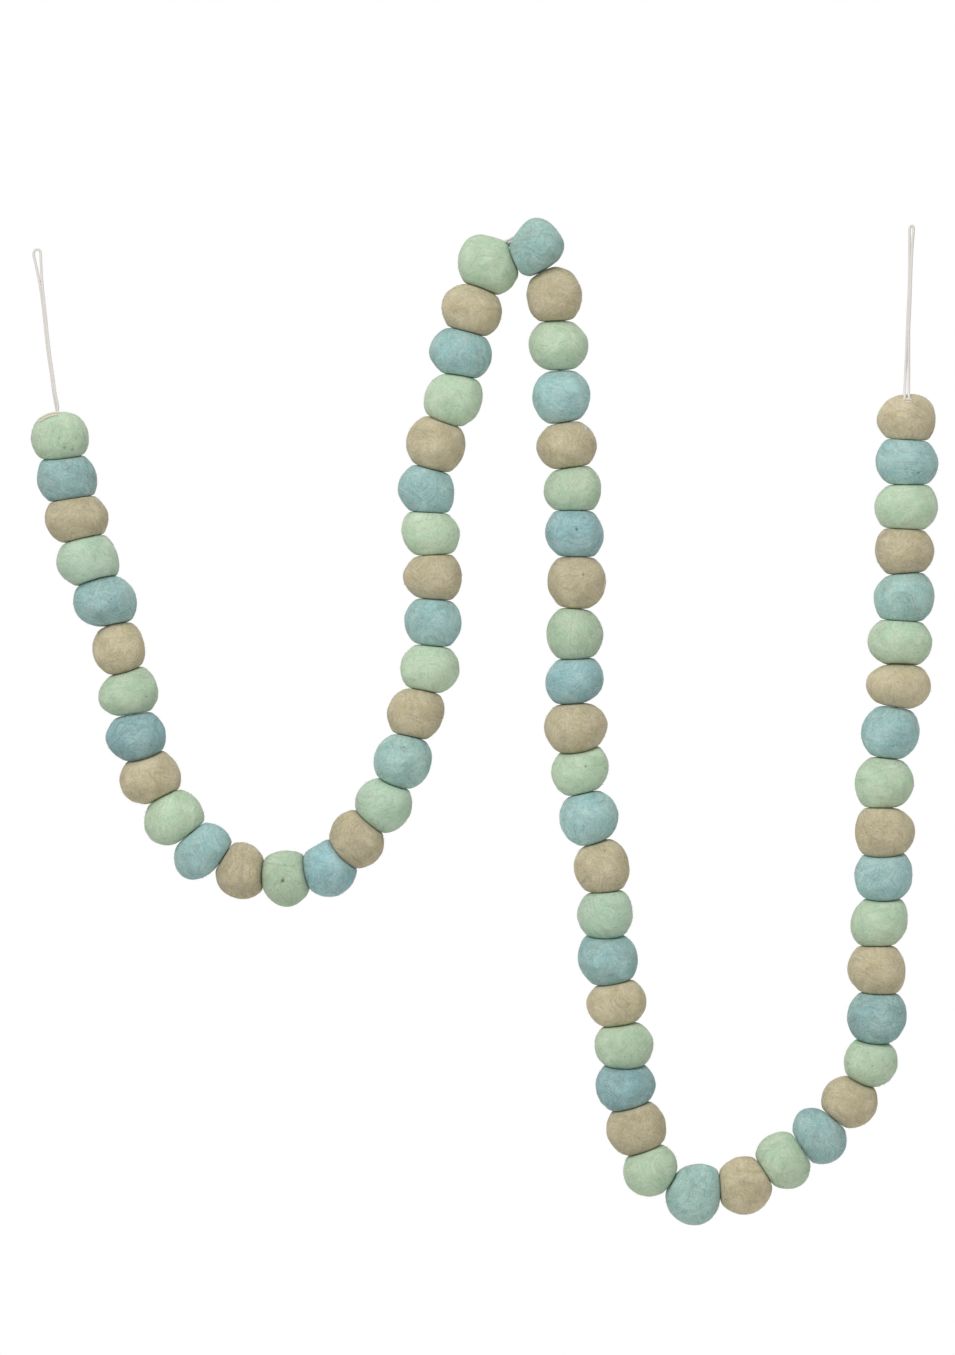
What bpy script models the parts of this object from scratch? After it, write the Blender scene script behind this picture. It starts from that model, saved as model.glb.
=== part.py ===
"""Felt ball garland: pressed wool balls on one doubled string, hanging in two swags from three hooks.

The garland hangs in the XZ plane with its front towards -Y. The origin is the middle hook, where
the string goes over it. Lengths in the tables are millimetres.
"""

import math
from typing import NamedTuple

import bpy
import numpy as np

MM = 0.001

# The wools, in the order in which they repeat along the string
WOOLS = (
    ("wool_mint", (0.467, 0.604, 0.436)),
    ("wool_aqua", (0.331, 0.500, 0.484)),
    ("wool_beige", (0.509, 0.453, 0.302)),
)
WOOL_ROUGHNESS = 0.95
COTTON = ("cotton", (0.792, 0.753, 0.716))
COTTON_ROUGHNESS = 0.85

# The string: two strands side by side through every ball, and one strand round each end loop
STRAND_DIAMETER = 1.3
STRAND_SPACING = 1.64
BORE_CLEARANCE = 0.35
BORE_RADIUS = STRAND_SPACING / 2 + STRAND_DIAMETER / 2 + BORE_CLEARANCE

# The balls: how each solid is faceted, and the slack between two pressed faces
SIDES = 12
RINGS_BETWEEN_RIMS = 3
FACE_GAP = 0.3
DEPTH_SHARE = 0.98
NECK_RADIUS = 4.5

# Every seventh pair of neighbours is one solid
FIRST_PAIRED = 3
PAIR_STEP = 7


class Ball(NamedTuple):
    """Where a ball is widest across the string, on the swag's outer and inner side."""

    outer: tuple
    inner: tuple


class Joint(NamedTuple):
    """The two ends of the line where a ball presses on the next, and how far its front dips."""

    outer: tuple
    inner: tuple
    dip: float


class FreeEnd(NamedTuple):
    """The end of a ball that presses on no other: two shoulders, the tip, and the string's hole."""

    outer: tuple
    tip: tuple
    inner: tuple
    hole: tuple


# Ball: outer x, outer z, inner x, inner z. Joint with the next: the same four, then dip
STRUNG = (
    ((-255.0, -106.0, -224.3, -107.0), (-249.0, -117.3, -227.4, -115.0, 1.5)),
    ((-251.5, -129.0, -219.8, -128.5), (-244.8, -140.0, -221.8, -136.4, 0.0)),
    ((-247.5, -150.5, -214.3, -145.5), (-237.3, -161.8, -216.9, -157.1, -0.7)),
    ((-241.4, -173.5, -208.8, -168.5), (-230.1, -184.6, -209.4, -179.0, -1.5)),
    ((-232.0, -197.0, -199.5, -188.5), (-217.1, -206.3, -202.9, -203.4, -0.6)),
    ((-222.3, -220.0, -194.8, -215.0), (-212.7, -231.6, -196.7, -226.8, 1.5)),
    ((-219.3, -244.5, -187.6, -241.0), (-208.9, -253.6, -192.0, -250.9, 0.0)),
    ((-215.2, -265.5, -184.0, -260.5), (-204.2, -277.4, -185.3, -271.5, 2.5)),
    ((-206.0, -294.5, -178.0, -278.0), (-192.5, -300.2, -176.5, -292.0, -0.8)),
    ((-191.0, -319.0, -166.5, -298.0), (-176.9, -320.6, -163.4, -309.8, 0.0)),
    ((-174.5, -338.5, -155.5, -311.3), (-157.4, -335.0, -148.4, -321.0, 0.0)),
    ((-149.0, -349.1, -139.5, -320.8), (-132.0, -344.9, -131.4, -329.1, -1.7)),
    ((-119.3, -354.4, -120.4, -324.7), (-107.1, -345.2, -110.4, -326.8, -2.2)),
    ((-93.0, -348.8, -102.0, -320.8), (-82.1, -334.2, -97.1, -318.5, -3.0)),
    ((-69.5, -327.0, -91.5, -306.0), (-68.4, -315.5, -83.1, -302.9, -1.5)),
    ((-55.0, -307.5, -80.0, -291.0), (-55.3, -292.0, -70.9, -286.0, -1.7)),
    ((-43.8, -282.5, -71.8, -271.0), (-46.2, -266.1, -62.2, -262.6, 0.6)),
    ((-36.8, -255.5, -65.5, -248.0), (-38.8, -241.5, -55.2, -238.3, 0.3)),
    ((-27.8, -228.5, -58.9, -225.5), (-34.3, -216.8, -50.4, -215.2, -0.3)),
    ((-26.7, -203.5, -57.2, -203.0), (-32.5, -192.1, -50.0, -190.8, -0.2)),
    ((-26.7, -180.7, -57.8, -179.2), (-32.5, -167.5, -50.4, -168.4, 0.0)),
    ((-27.7, -156.4, -58.5, -154.9), (-34.4, -145.8, -54.2, -144.8, -0.4)),
    ((-30.7, -134.7, -60.4, -132.1), (-34.4, -124.4, -51.6, -119.9, -0.7)),
    ((-25.0, -112.0, -55.8, -105.5), (-27.7, -100.1, -44.6, -94.1, -1.2)),
    ((-17.0, -91.0, -44.8, -79.0), (-19.1, -74.6, -36.7, -71.8, 0.4)),
    ((-11.0, -64.5, -43.8, -59.0), (-14.3, -52.3, -33.4, -47.3, 0.0)),
    ((-6.3, -44.5, -36.0, -31.0), (-8.2, -30.4, -24.7, -24.1, 0.9)),
    ((2.7, -21.5, -28.0, -8.0), (3.3, -17.2, -2.2, -4.2, -0.5)),
    ((-1.5, -10.5, 27.5, -3.4), (11.1, -20.3, 21.1, -15.1, -0.5)),
    ((7.8, -32.2, 37.1, -32.6), (15.1, -44.5, 30.4, -43.8, -0.2)),
    ((8.8, -57.9, 40.4, -57.9), (19.3, -70.4, 31.8, -69.9, 0.1)),
    ((10.8, -84.7, 41.3, -81.4), (20.5, -98.8, 34.5, -96.8, 0.0)),
    ((13.1, -111.9, 45.0, -109.5), (22.8, -122.8, 40.0, -120.5, 0.0)),
    ((16.7, -134.1, 47.4, -134.1), (22.8, -144.4, 42.0, -144.5, 0.0)),
    ((17.7, -156.0, 48.6, -157.6), (25.5, -168.9, 42.7, -169.1, 0.0)),
    ((19.0, -180.2, 49.8, -182.2), (26.5, -195.8, 39.7, -196.7, 0.4)),
    ((18.3, -209.3, 48.4, -209.7), (24.8, -223.1, 42.3, -222.3, 1.0)),
    ((17.7, -234.3, 48.7, -232.6), (24.4, -247.2, 39.7, -246.1, 0.6)),
    ((17.2, -257.7, 50.5, -257.3), (25.3, -272.8, 45.6, -269.2, 2.8)),
    ((20.8, -281.9, 51.1, -279.8), (29.8, -296.0, 45.2, -292.5, 0.2)),
    ((25.1, -307.5, 56.2, -304.0), (37.4, -322.5, 51.0, -318.2, 0.9)),
    ((32.7, -333.5, 62.1, -331.5), (40.8, -346.9, 57.7, -345.4, 1.0)),
    ((34.5, -358.5, 63.9, -356.5), (39.5, -369.4, 59.5, -369.4, 3.0)),
    ((35.0, -379.0, 66.6, -381.0), (44.6, -396.2, 63.3, -392.8, 1.4)),
    ((39.5, -406.5, 71.2, -404.0), (48.0, -417.9, 65.8, -415.3, 1.4)),
    ((43.6, -427.5, 74.7, -425.5), (48.9, -438.3, 70.5, -438.1, 3.2)),
    ((44.4, -447.5, 76.1, -448.5), (52.9, -462.9, 72.7, -457.3, 1.8)),
    ((50.6, -476.0, 81.0, -467.0), (61.1, -486.5, 79.4, -480.1, 1.2)),
    ((62.2, -503.5, 85.0, -484.3), (81.3, -505.2, 87.6, -494.7, 0.8)),
    ((98.5, -523.1, 99.5, -490.6), (110.4, -511.1, 109.6, -494.7, 0.4)),
    ((125.7, -517.3, 120.0, -487.0), (138.0, -501.8, 129.0, -487.7, 0.5)),
    ((153.5, -501.8, 136.5, -475.3), (158.1, -489.4, 149.0, -475.3, 0.0)),
    ((173.2, -487.6, 152.5, -463.0), (176.2, -471.6, 164.6, -462.0, 0.0)),
    ((190.0, -467.0, 167.5, -448.0), (191.9, -450.2, 177.6, -443.8, -2.0)),
    ((204.3, -439.5, 176.5, -433.0), (200.3, -426.8, 182.3, -424.5, -2.4)),
    ((209.0, -413.7, 177.6, -411.5), (204.0, -400.2, 184.8, -399.6, -1.4)),
    ((208.5, -387.6, 177.8, -386.0), (202.0, -374.9, 184.4, -374.9, -0.7)),
    ((209.7, -363.1, 179.5, -363.1), (206.0, -350.1, 186.9, -350.1, -2.1)),
    ((212.3, -338.6, 181.4, -337.8), (208.1, -326.0, 186.1, -326.8, -2.5)),
    ((213.6, -314.2, 181.8, -314.2), (204.0, -301.9, 187.1, -301.8, -0.2)),
    ((213.1, -289.3, 181.6, -288.5), (206.1, -276.3, 191.4, -274.7, -0.4)),
    ((215.9, -262.4, 185.0, -261.2), (210.9, -249.8, 196.2, -247.6, 0.0)),
    ((222.1, -237.1, 187.5, -236.3), (215.0, -226.5, 197.5, -226.0, 0.9)),
    ((222.7, -214.7, 188.4, -213.5), (216.7, -203.3, 196.3, -202.1, -0.4)),
    ((223.9, -190.7, 191.8, -190.0), (217.6, -177.2, 199.6, -178.5, 0.3)),
    ((223.8, -166.5, 192.3, -166.1), (218.4, -154.8, 197.6, -153.7, -0.1)),
    ((225.7, -142.6, 191.9, -142.2), (220.0, -130.6, 200.0, -130.6, -0.5)),
    ((226.0, -119.8, 192.7, -118.6), (219.6, -107.5, 198.8, -106.3, -0.2)),
    ((224.5, -95.5, 193.3, -95.9), None),
)

# The four ends that press on nothing: shoulder, tip, shoulder, and where the string comes out (x, y, z)
FREE_ENDS = {
    1: FreeEnd((-250.3, -95.3), (-240.5, -92.3), (-229.8, -94.6), (-241.0, 0.0, -92.4)),
    28: FreeEnd((0.5, -6.0), (-10.5, 0.8), (-21.2, 0.8), (-4.6, 1.0, -2.7)),
    29: FreeEnd((2.9, 3.1), (12.3, 10.6), (22.2, 5.6), (5.6, 5.4, 3.0)),
    69: FreeEnd((220.4, -85.5), (209.2, -82.9), (197.2, -87.9), (209.2, 0.0, -83.0)),
}
PEAK_BALL = 28
FREE_STARTS = (1, PEAK_BALL + 1)
FREE_STOPS = (PEAK_BALL, len(STRUNG))

# How far the hook pushes a ball to the front
FORWARD = {29: 5.0, 30: 2.0}

# The centre of the doubled string where it goes over the middle hook (x, y, z)
PEAK_ROUTE = ((-2.2, 3.2, -0.9), (0.4, 6.2, 0.6), (2.6, 8.6, 0.9), (4.6, 9.2, 1.4))

# One strand round each hook, from the front strand's hole to the back strand's hole
LEFT_LOOP = (
    (-242.3, -0.82, -82.0),
    (-243.9, -0.80, -71.0),
    (-245.3, -0.78, -60.0),
    (-246.6, -0.75, -49.0),
    (-247.7, -0.72, -39.0),
    (-248.5, -0.70, -30.0),
    (-249.0, -0.62, -22.0),
    (-249.3, -0.45, -15.0),
    (-249.4, -0.25, -10.5),
    (-249.6, -0.10, -8.2),
    (-250.4, 0.0, -6.5),
    (-251.6, 0.0, -5.8),
    (-252.9, 0.05, -6.4),
    (-253.7, 0.12, -8.0),
    (-253.7, 0.28, -10.5),
    (-252.9, 0.48, -15.0),
    (-251.2, 0.65, -22.0),
    (-249.6, 0.72, -30.0),
    (-248.5, 0.75, -39.0),
    (-247.1, 0.78, -49.0),
    (-245.7, 0.80, -60.0),
    (-244.2, 0.82, -71.0),
    (-242.6, 0.82, -82.0),
)
RIGHT_LOOP = (
    (209.4, -0.75, -76.0),
    (210.5, -0.70, -66.0),
    (210.5, -0.72, -56.0),
    (210.8, -0.75, -46.0),
    (211.2, -0.75, -36.0),
    (211.5, -0.72, -26.0),
    (212.0, -0.65, -16.0),
    (212.6, -0.50, -7.0),
    (213.4, -0.30, 0.0),
    (213.7, -0.10, 3.4),
    (213.2, 0.0, 5.7),
    (211.9, 0.0, 6.6),
    (210.5, 0.0, 5.9),
    (209.8, 0.10, 3.6),
    (209.9, 0.30, 0.0),
    (210.3, 0.50, -7.0),
    (210.4, 0.65, -16.0),
    (210.4, 0.72, -26.0),
    (209.9, 0.75, -36.0),
    (209.7, 0.75, -46.0),
    (209.1, 0.72, -56.0),
    (208.7, 0.70, -66.0),
    (208.5, 0.75, -76.0),
)


def plane_vector(xz):
    """A point of the tables, which lies in the garland's plane."""
    return np.array((xz[0], 0.0, xz[1]))


def unit(vector):
    """The vector's direction, one long."""
    return vector / np.linalg.norm(vector)


def balls():
    """Each ball's widest points and its joints, as named values, keyed by the ball's number."""
    widest, joints = {}, {}
    for number, (ball, joint) in enumerate(STRUNG, start=1):
        widest[number] = Ball(ball[:2], ball[2:])
        if joint:
            joints[number] = Joint(joint[:2], joint[2:4], joint[4])
    return widest, joints


class Face:
    """The flat face along which two balls press: its middle, its normal and its two directions."""

    def __init__(self, joint, ahead, forward):
        outer, inner = plane_vector(joint.outer), plane_vector(joint.inner)
        self.middle = (outer + inner) / 2 - np.array((0.0, forward, 0.0))
        self.half_width = np.linalg.norm(outer - inner) / 2
        self.across = unit(outer - inner)
        flat_normal = unit(np.cross(self.across, (0.0, 1.0, 0.0)))
        if flat_normal @ ahead < 0:
            flat_normal = -flat_normal
        self.front = unit(joint.dip * flat_normal - np.array((0.0, self.half_width, 0.0)))
        self.normal = unit(np.cross(self.across, self.front))
        if self.normal @ ahead < 0:
            self.normal = -self.normal

    def distance(self, centre, direction, side):
        """How far the face, moved back by half the gap, is along a ray; infinite if it is missed."""
        toward = side * self.normal @ direction
        if toward < 1e-6:
            return math.inf
        return (side * self.normal @ (self.middle - centre) - FACE_GAP / 2) / toward


class Shape:
    """A ball's free shape: its outline as radii about its middle, and round in depth."""

    def __init__(self, ball, before, after, forward):
        outer, inner = plane_vector(ball.outer), plane_vector(ball.inner)
        self.centre = (outer + inner) / 2 - np.array((0.0, forward, 0.0))
        self.outward = unit(outer - inner)
        self.half_width = np.linalg.norm(outer - inner) / 2
        points = [outer, inner]
        for end in (before, after):
            points += self.end_points(end)
        spokes = [point - self.centre for point in points]
        polar = sorted((math.atan2(s[2], s[0]), math.hypot(s[0], s[2])) for s in spokes)
        self.angles = [angle for angle, radius in polar]
        self.radii = [radius for angle, radius in polar]

    def end_points(self, end):
        """An end's points on the outline; past a pressed face it goes on as if round."""
        if isinstance(end, FreeEnd):
            return [plane_vector(point) for point in (end.outer, end.tip, end.inner)]
        reach = np.linalg.norm(end.middle - self.centre)
        width_share = min(end.half_width / self.half_width, 0.75)
        pole = self.centre + (end.middle - self.centre) / math.sqrt(1 - width_share**2)
        across = end.across * end.half_width
        return [end.middle + across, pole, end.middle - across]

    def outline(self, angle):
        """The outline's radius at an angle, by a smooth curve through the points either side."""
        count = len(self.angles)
        angles = [self.angles[i % count] + 2 * math.pi * (i // count) for i in range(-2, count + 3)]
        radii = [self.radii[i % count] for i in range(-2, count + 3)]
        k = next(i for i in range(1, len(angles) - 2) if angles[i] <= angle < angles[i + 1])
        steps = [angles[k + i + 1] - angles[k + i] for i in (-1, 0, 1)]
        slopes = [(radii[k + i + 1] - radii[k + i]) / steps[i + 1] for i in (-1, 0, 1)]
        start = (slopes[0] * steps[1] + slopes[1] * steps[0]) / (steps[0] + steps[1])
        stop = (slopes[1] * steps[2] + slopes[2] * steps[1]) / (steps[1] + steps[2])
        t = (angle - angles[k]) / steps[1]
        return (
            radii[k] * (1 - t) ** 2 * (1 + 2 * t)
            + radii[k + 1] * t**2 * (3 - 2 * t)
            + steps[1] * t * (1 - t) * (start * (1 - t) - stop * t)
        )

    def radius(self, direction):
        """The free radius along a direction: the outline's in the plane, the depth's across it."""
        flat = math.hypot(direction[0], direction[2])
        outline = self.outline(math.atan2(direction[2], direction[0])) if flat > 1e-9 else 1.0
        depth = self.half_width * DEPTH_SHARE
        return 1 / math.sqrt((flat / outline) ** 2 + (direction[1] / depth) ** 2)


def between(start, stop, share):
    """A direction part of the way along the arc from one unit vector to another."""
    angle = math.acos(max(-1.0, min(1.0, start @ stop)))
    return (math.sin((1 - share) * angle) * start + math.sin(share * angle) * stop) / math.sin(angle)


class PressedBall:
    """One ball with its two ends, cut into rings of points from the first end to the second."""

    def __init__(self, number, widest, faces, bore_radii):
        self.before = FREE_ENDS[number] if number in FREE_STARTS else faces[number - 1]
        self.after = FREE_ENDS[number] if number in FREE_STOPS else faces[number]
        self.shape = Shape(widest[number], self.before, self.after, FORWARD.get(number, 0.0))
        self.centre = self.shape.centre
        self.faces = [(faces[n], side) for n, side in ((number - 1, -1), (number, 1)) if n in faces]
        self.bore_radius = bore_radii[number]

    def limit(self, direction):
        """The radius along a direction, once the neighbours have pressed the ball flat."""
        reach = [face.distance(self.centre, direction, side) for face, side in self.faces]
        return min([self.shape.radius(direction)] + reach)

    def pole(self, end):
        """The direction of the string's hole at one end."""
        hole = np.array(end.hole) if isinstance(end, FreeEnd) else end.middle
        return unit(hole - self.centre)

    def equator(self, turn):
        """A direction across the string, turned from the outer side by the front."""
        return math.cos(turn) * self.shape.outward + math.sin(turn) * np.array((0.0, -1.0, 0.0))

    def rim_share(self, pole, equator, end):
        """How far along the arc from hole to side the pressed face stops."""
        if isinstance(end, FreeEnd):
            return 0.42
        low, high = 0.0, 1.0
        for _ in range(40):
            middle = (low + high) / 2
            direction = between(pole, equator, middle)
            pressed = min(face.distance(self.centre, direction, side) for face, side in self.faces)
            if pressed < self.shape.radius(direction):
                low = middle
            else:
                high = middle
        return high

    def hole_ring(self, end, side):
        """The ring where the bore opens, on the pressed face or just under a free end's surface."""
        if isinstance(end, FreeEnd):
            pole = self.pole(end)
            middle = self.centre + pole * (self.limit(pole) - 0.5)
            first = unit(self.shape.outward - (self.shape.outward @ pole) * pole)
            second = np.cross(first, pole) * side
        else:
            middle = end.middle - side * end.normal * FACE_GAP / 2
            first = end.across if end.across @ self.shape.outward > 0 else -end.across
            second = end.front
        turns = [2 * math.pi * i / SIDES for i in range(SIDES)]
        if second @ np.array((0.0, -1.0, 0.0)) < 0:
            second = -second
        return [middle + self.bore_radius * (math.cos(t) * first + math.sin(t) * second) for t in turns]

    def rings(self):
        """Rings from the hole at the first end, over the ball, to the hole at the second end."""
        meridians = []
        for i in range(SIDES):
            equator = self.equator(2 * math.pi * i / SIDES)
            poles = (self.pole(self.before), self.pole(self.after))
            first = self.rim_share(poles[0], equator, self.before)
            last = 2 - self.rim_share(poles[1], equator, self.after)
            points = []
            for step in range(RINGS_BETWEEN_RIMS + 2):
                share = first + (last - first) * step / (RINGS_BETWEEN_RIMS + 1)
                pole = poles[0] if share < 1 else poles[1]
                direction = between(pole, equator, share if share < 1 else 2 - share)
                points.append(self.centre + direction * self.limit(direction))
            meridians.append(points)
        body = [[meridian[k] for meridian in meridians] for k in range(RINGS_BETWEEN_RIMS + 2)]
        return [self.hole_ring(self.before, -1)] + body + [self.hole_ring(self.after, 1)]


def joint_faces(widest, joints):
    """Every pressed face, with its normal pointing on along the string."""
    faces = {}
    for number, joint in joints.items():
        here = plane_vector(widest[number].outer) + plane_vector(widest[number].inner)
        there = plane_vector(widest[number + 1].outer) + plane_vector(widest[number + 1].inner)
        forward = (FORWARD.get(number, 0.0) + FORWARD.get(number + 1, 0.0)) / 2
        faces[number] = Face(joint, unit(there - here), forward)
    return faces


def string_ends(number, faces):
    """Where the string enters and leaves a ball."""
    before = FREE_ENDS[number].hole if number in FREE_STARTS else faces[number - 1].middle
    after = FREE_ENDS[number].hole if number in FREE_STOPS else faces[number].middle
    return np.array(before), np.array(after)


def string_run(first, last, faces):
    """The doubled string's centre from one ball's hole to another's, with a point inside each ball."""
    knots = [string_ends(n, faces)[0] for n in range(first, last + 1)] + [string_ends(last, faces)[1]]
    points = [knots[0]]
    for k in range(len(knots) - 1):
        ahead = knots[min(k + 2, len(knots) - 1)] - knots[k]
        behind = knots[k + 1] - knots[max(k - 1, 0)]
        length = np.linalg.norm(knots[k + 1] - knots[k])
        bow = (unit(behind) - unit(ahead)) * length / 8
        points += [(knots[k] + knots[k + 1]) / 2 + bow, knots[k + 1]]
    return points


def bore_radii(faces):
    """Each ball's bore, wide enough for both strands where they bow inside it."""
    radii = {}
    for first, last in ((1, PEAK_BALL), (PEAK_BALL + 1, len(STRUNG))):
        points = string_run(first, last, faces)
        for number in range(first, last + 1):
            start, middle, stop = points[2 * (number - first) : 2 * (number - first) + 3]
            radii[number] = BORE_RADIUS + np.linalg.norm(middle - (start + stop) / 2)
    return radii


def principled(name, color, roughness):
    """A material with one Principled BSDF."""
    material = bpy.data.materials.new(name)
    material.use_nodes = True
    shader = material.node_tree.nodes["Principled BSDF"]
    shader.inputs["Base Color"].default_value = (*color, 1.0)
    shader.inputs["Roughness"].default_value = roughness
    shader.inputs["Metallic"].default_value = 0.0
    return material


def ring_solid(name, rings, material):
    """A closed solid from rings of points, joined one to the next and the last to the first."""
    points = [tuple(point * MM) for ring in rings for point in ring]
    polygons = []
    for k in range(len(rings)):
        here, there = k * SIDES, (k + 1) % len(rings) * SIDES
        for i in range(SIDES):
            j = (i + 1) % SIDES
            polygons.append((here + i, here + j, there + j, there + i))
    mesh = bpy.data.meshes.new(name)
    mesh.from_pydata(points, [], polygons)
    mesh.update()
    mesh.materials.append(material)
    node = bpy.data.objects.new(name, mesh)
    bpy.context.scene.collection.objects.link(node)
    face_outward(node)
    return node


def face_outward(node):
    """Turns a solid's faces round if it came out inside out."""
    mesh = node.data
    volume = sum(p.center.dot(p.normal) * p.area for p in mesh.polygons)
    if volume < 0:
        mesh.flip_normals()


def neck(ring):
    """A ring of the neck that joins two balls, drawn in round its middle."""
    middle = sum(ring) / len(ring)
    return [middle + unit(point - middle) * NECK_RADIUS for point in ring]


def make_string(faces, material):
    """One closed strand: along the front, round the right loop, back behind, round the left loop."""
    apart = np.array((0.0, STRAND_SPACING / 2, 0.0))
    run = string_run(1, PEAK_BALL, faces) + [np.array(point) for point in PEAK_ROUTE]
    run += string_run(PEAK_BALL + 1, len(STRUNG), faces)
    points = [point - apart for point in run] + [np.array(point) for point in RIGHT_LOOP]
    points += [point + apart for point in reversed(run)]
    points += [np.array(point) for point in reversed(LEFT_LOOP)]
    curve = bpy.data.curves.new("string", "CURVE")
    curve.dimensions = "3D"
    curve.bevel_depth = STRAND_DIAMETER / 2 * MM
    curve.bevel_resolution = 2
    spline = curve.splines.new("POLY")
    spline.points.add(len(points) - 1)
    for place, point in zip(spline.points, points):
        place.co = (*(point * MM), 1.0)
    spline.use_cyclic_u = True
    curve.materials.append(material)
    bpy.context.scene.collection.objects.link(bpy.data.objects.new("string", curve))


def main():
    for leftover in list(bpy.data.objects):
        bpy.data.objects.remove(leftover, do_unlink=True)
    widest, joints = balls()
    faces = joint_faces(widest, joints)
    radii = bore_radii(faces)
    wools = [principled(name, color, WOOL_ROUGHNESS) for name, color in WOOLS]
    number = 1
    while number <= len(STRUNG):
        rings = PressedBall(number, widest, faces, radii).rings()
        wool = wools[(number - 1) % len(wools)]
        if number % PAIR_STEP == FIRST_PAIRED and number < len(STRUNG):
            second = PressedBall(number + 1, widest, faces, radii).rings()
            bore_bend = rings[-1]
            rings = rings[:-1] + [neck(rings[-1]), neck(second[0])] + second[1:] + [bore_bend]
            ring_solid(f"balls_{number:02d}_{number + 1:02d}", rings, wool)
            number += 2
        else:
            ring_solid(f"ball_{number:02d}", rings, wool)
            number += 1
    make_string(faces, principled(COTTON[0], COTTON[1], COTTON_ROUGHNESS))


main()
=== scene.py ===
"""Felt ball garland: matted wool balls pressed along a doubled string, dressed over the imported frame.

The garland hangs in the XZ plane with its front towards -Y, and the origin is the middle hook. The
tables and the forms of the balls are in millimetres, and the pieces in metres.
"""

from __future__ import annotations

import logging
import math
from dataclasses import dataclass, field
from enum import Enum
from typing import NamedTuple

import bpy
import numpy as np
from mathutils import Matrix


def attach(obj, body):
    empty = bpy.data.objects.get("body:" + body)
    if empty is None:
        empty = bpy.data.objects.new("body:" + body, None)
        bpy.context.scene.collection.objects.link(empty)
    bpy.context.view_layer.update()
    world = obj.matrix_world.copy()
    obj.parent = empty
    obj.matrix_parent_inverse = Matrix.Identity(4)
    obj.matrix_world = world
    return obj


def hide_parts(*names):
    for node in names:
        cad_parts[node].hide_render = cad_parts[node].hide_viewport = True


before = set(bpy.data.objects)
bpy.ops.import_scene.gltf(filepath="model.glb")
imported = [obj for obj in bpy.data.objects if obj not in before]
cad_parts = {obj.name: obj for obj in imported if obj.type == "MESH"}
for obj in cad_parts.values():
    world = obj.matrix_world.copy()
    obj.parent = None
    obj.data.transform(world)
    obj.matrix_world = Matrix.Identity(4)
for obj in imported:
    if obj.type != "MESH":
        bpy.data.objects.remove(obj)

log = logging.getLogger("garland")

Pair = tuple[float, float]
Triple = tuple[float, float, float]
Socket = bpy.types.NodeSocket

MM = 0.001
FRONT = np.array((0.0, -1.0, 0.0))

# Farther than any ball reaches, and how far in front of the garland rays start, in millimetres
FAR = 1000.0
RAY_START = 100.0


class Ball(NamedTuple):
    """Where a ball is widest across the string, on the swag's outer and inner side."""

    outer: Pair
    inner: Pair


class Joint(NamedTuple):
    """The two ends of the line where a ball presses on the next, and how far its front dips."""

    outer: Pair
    inner: Pair
    dip: float


class FreeEnd(NamedTuple):
    """The end of a ball that presses on no other: two shoulders, the tip, and the string's hole."""

    outer: Pair
    tip: Pair
    inner: Pair
    hole: Triple


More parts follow.
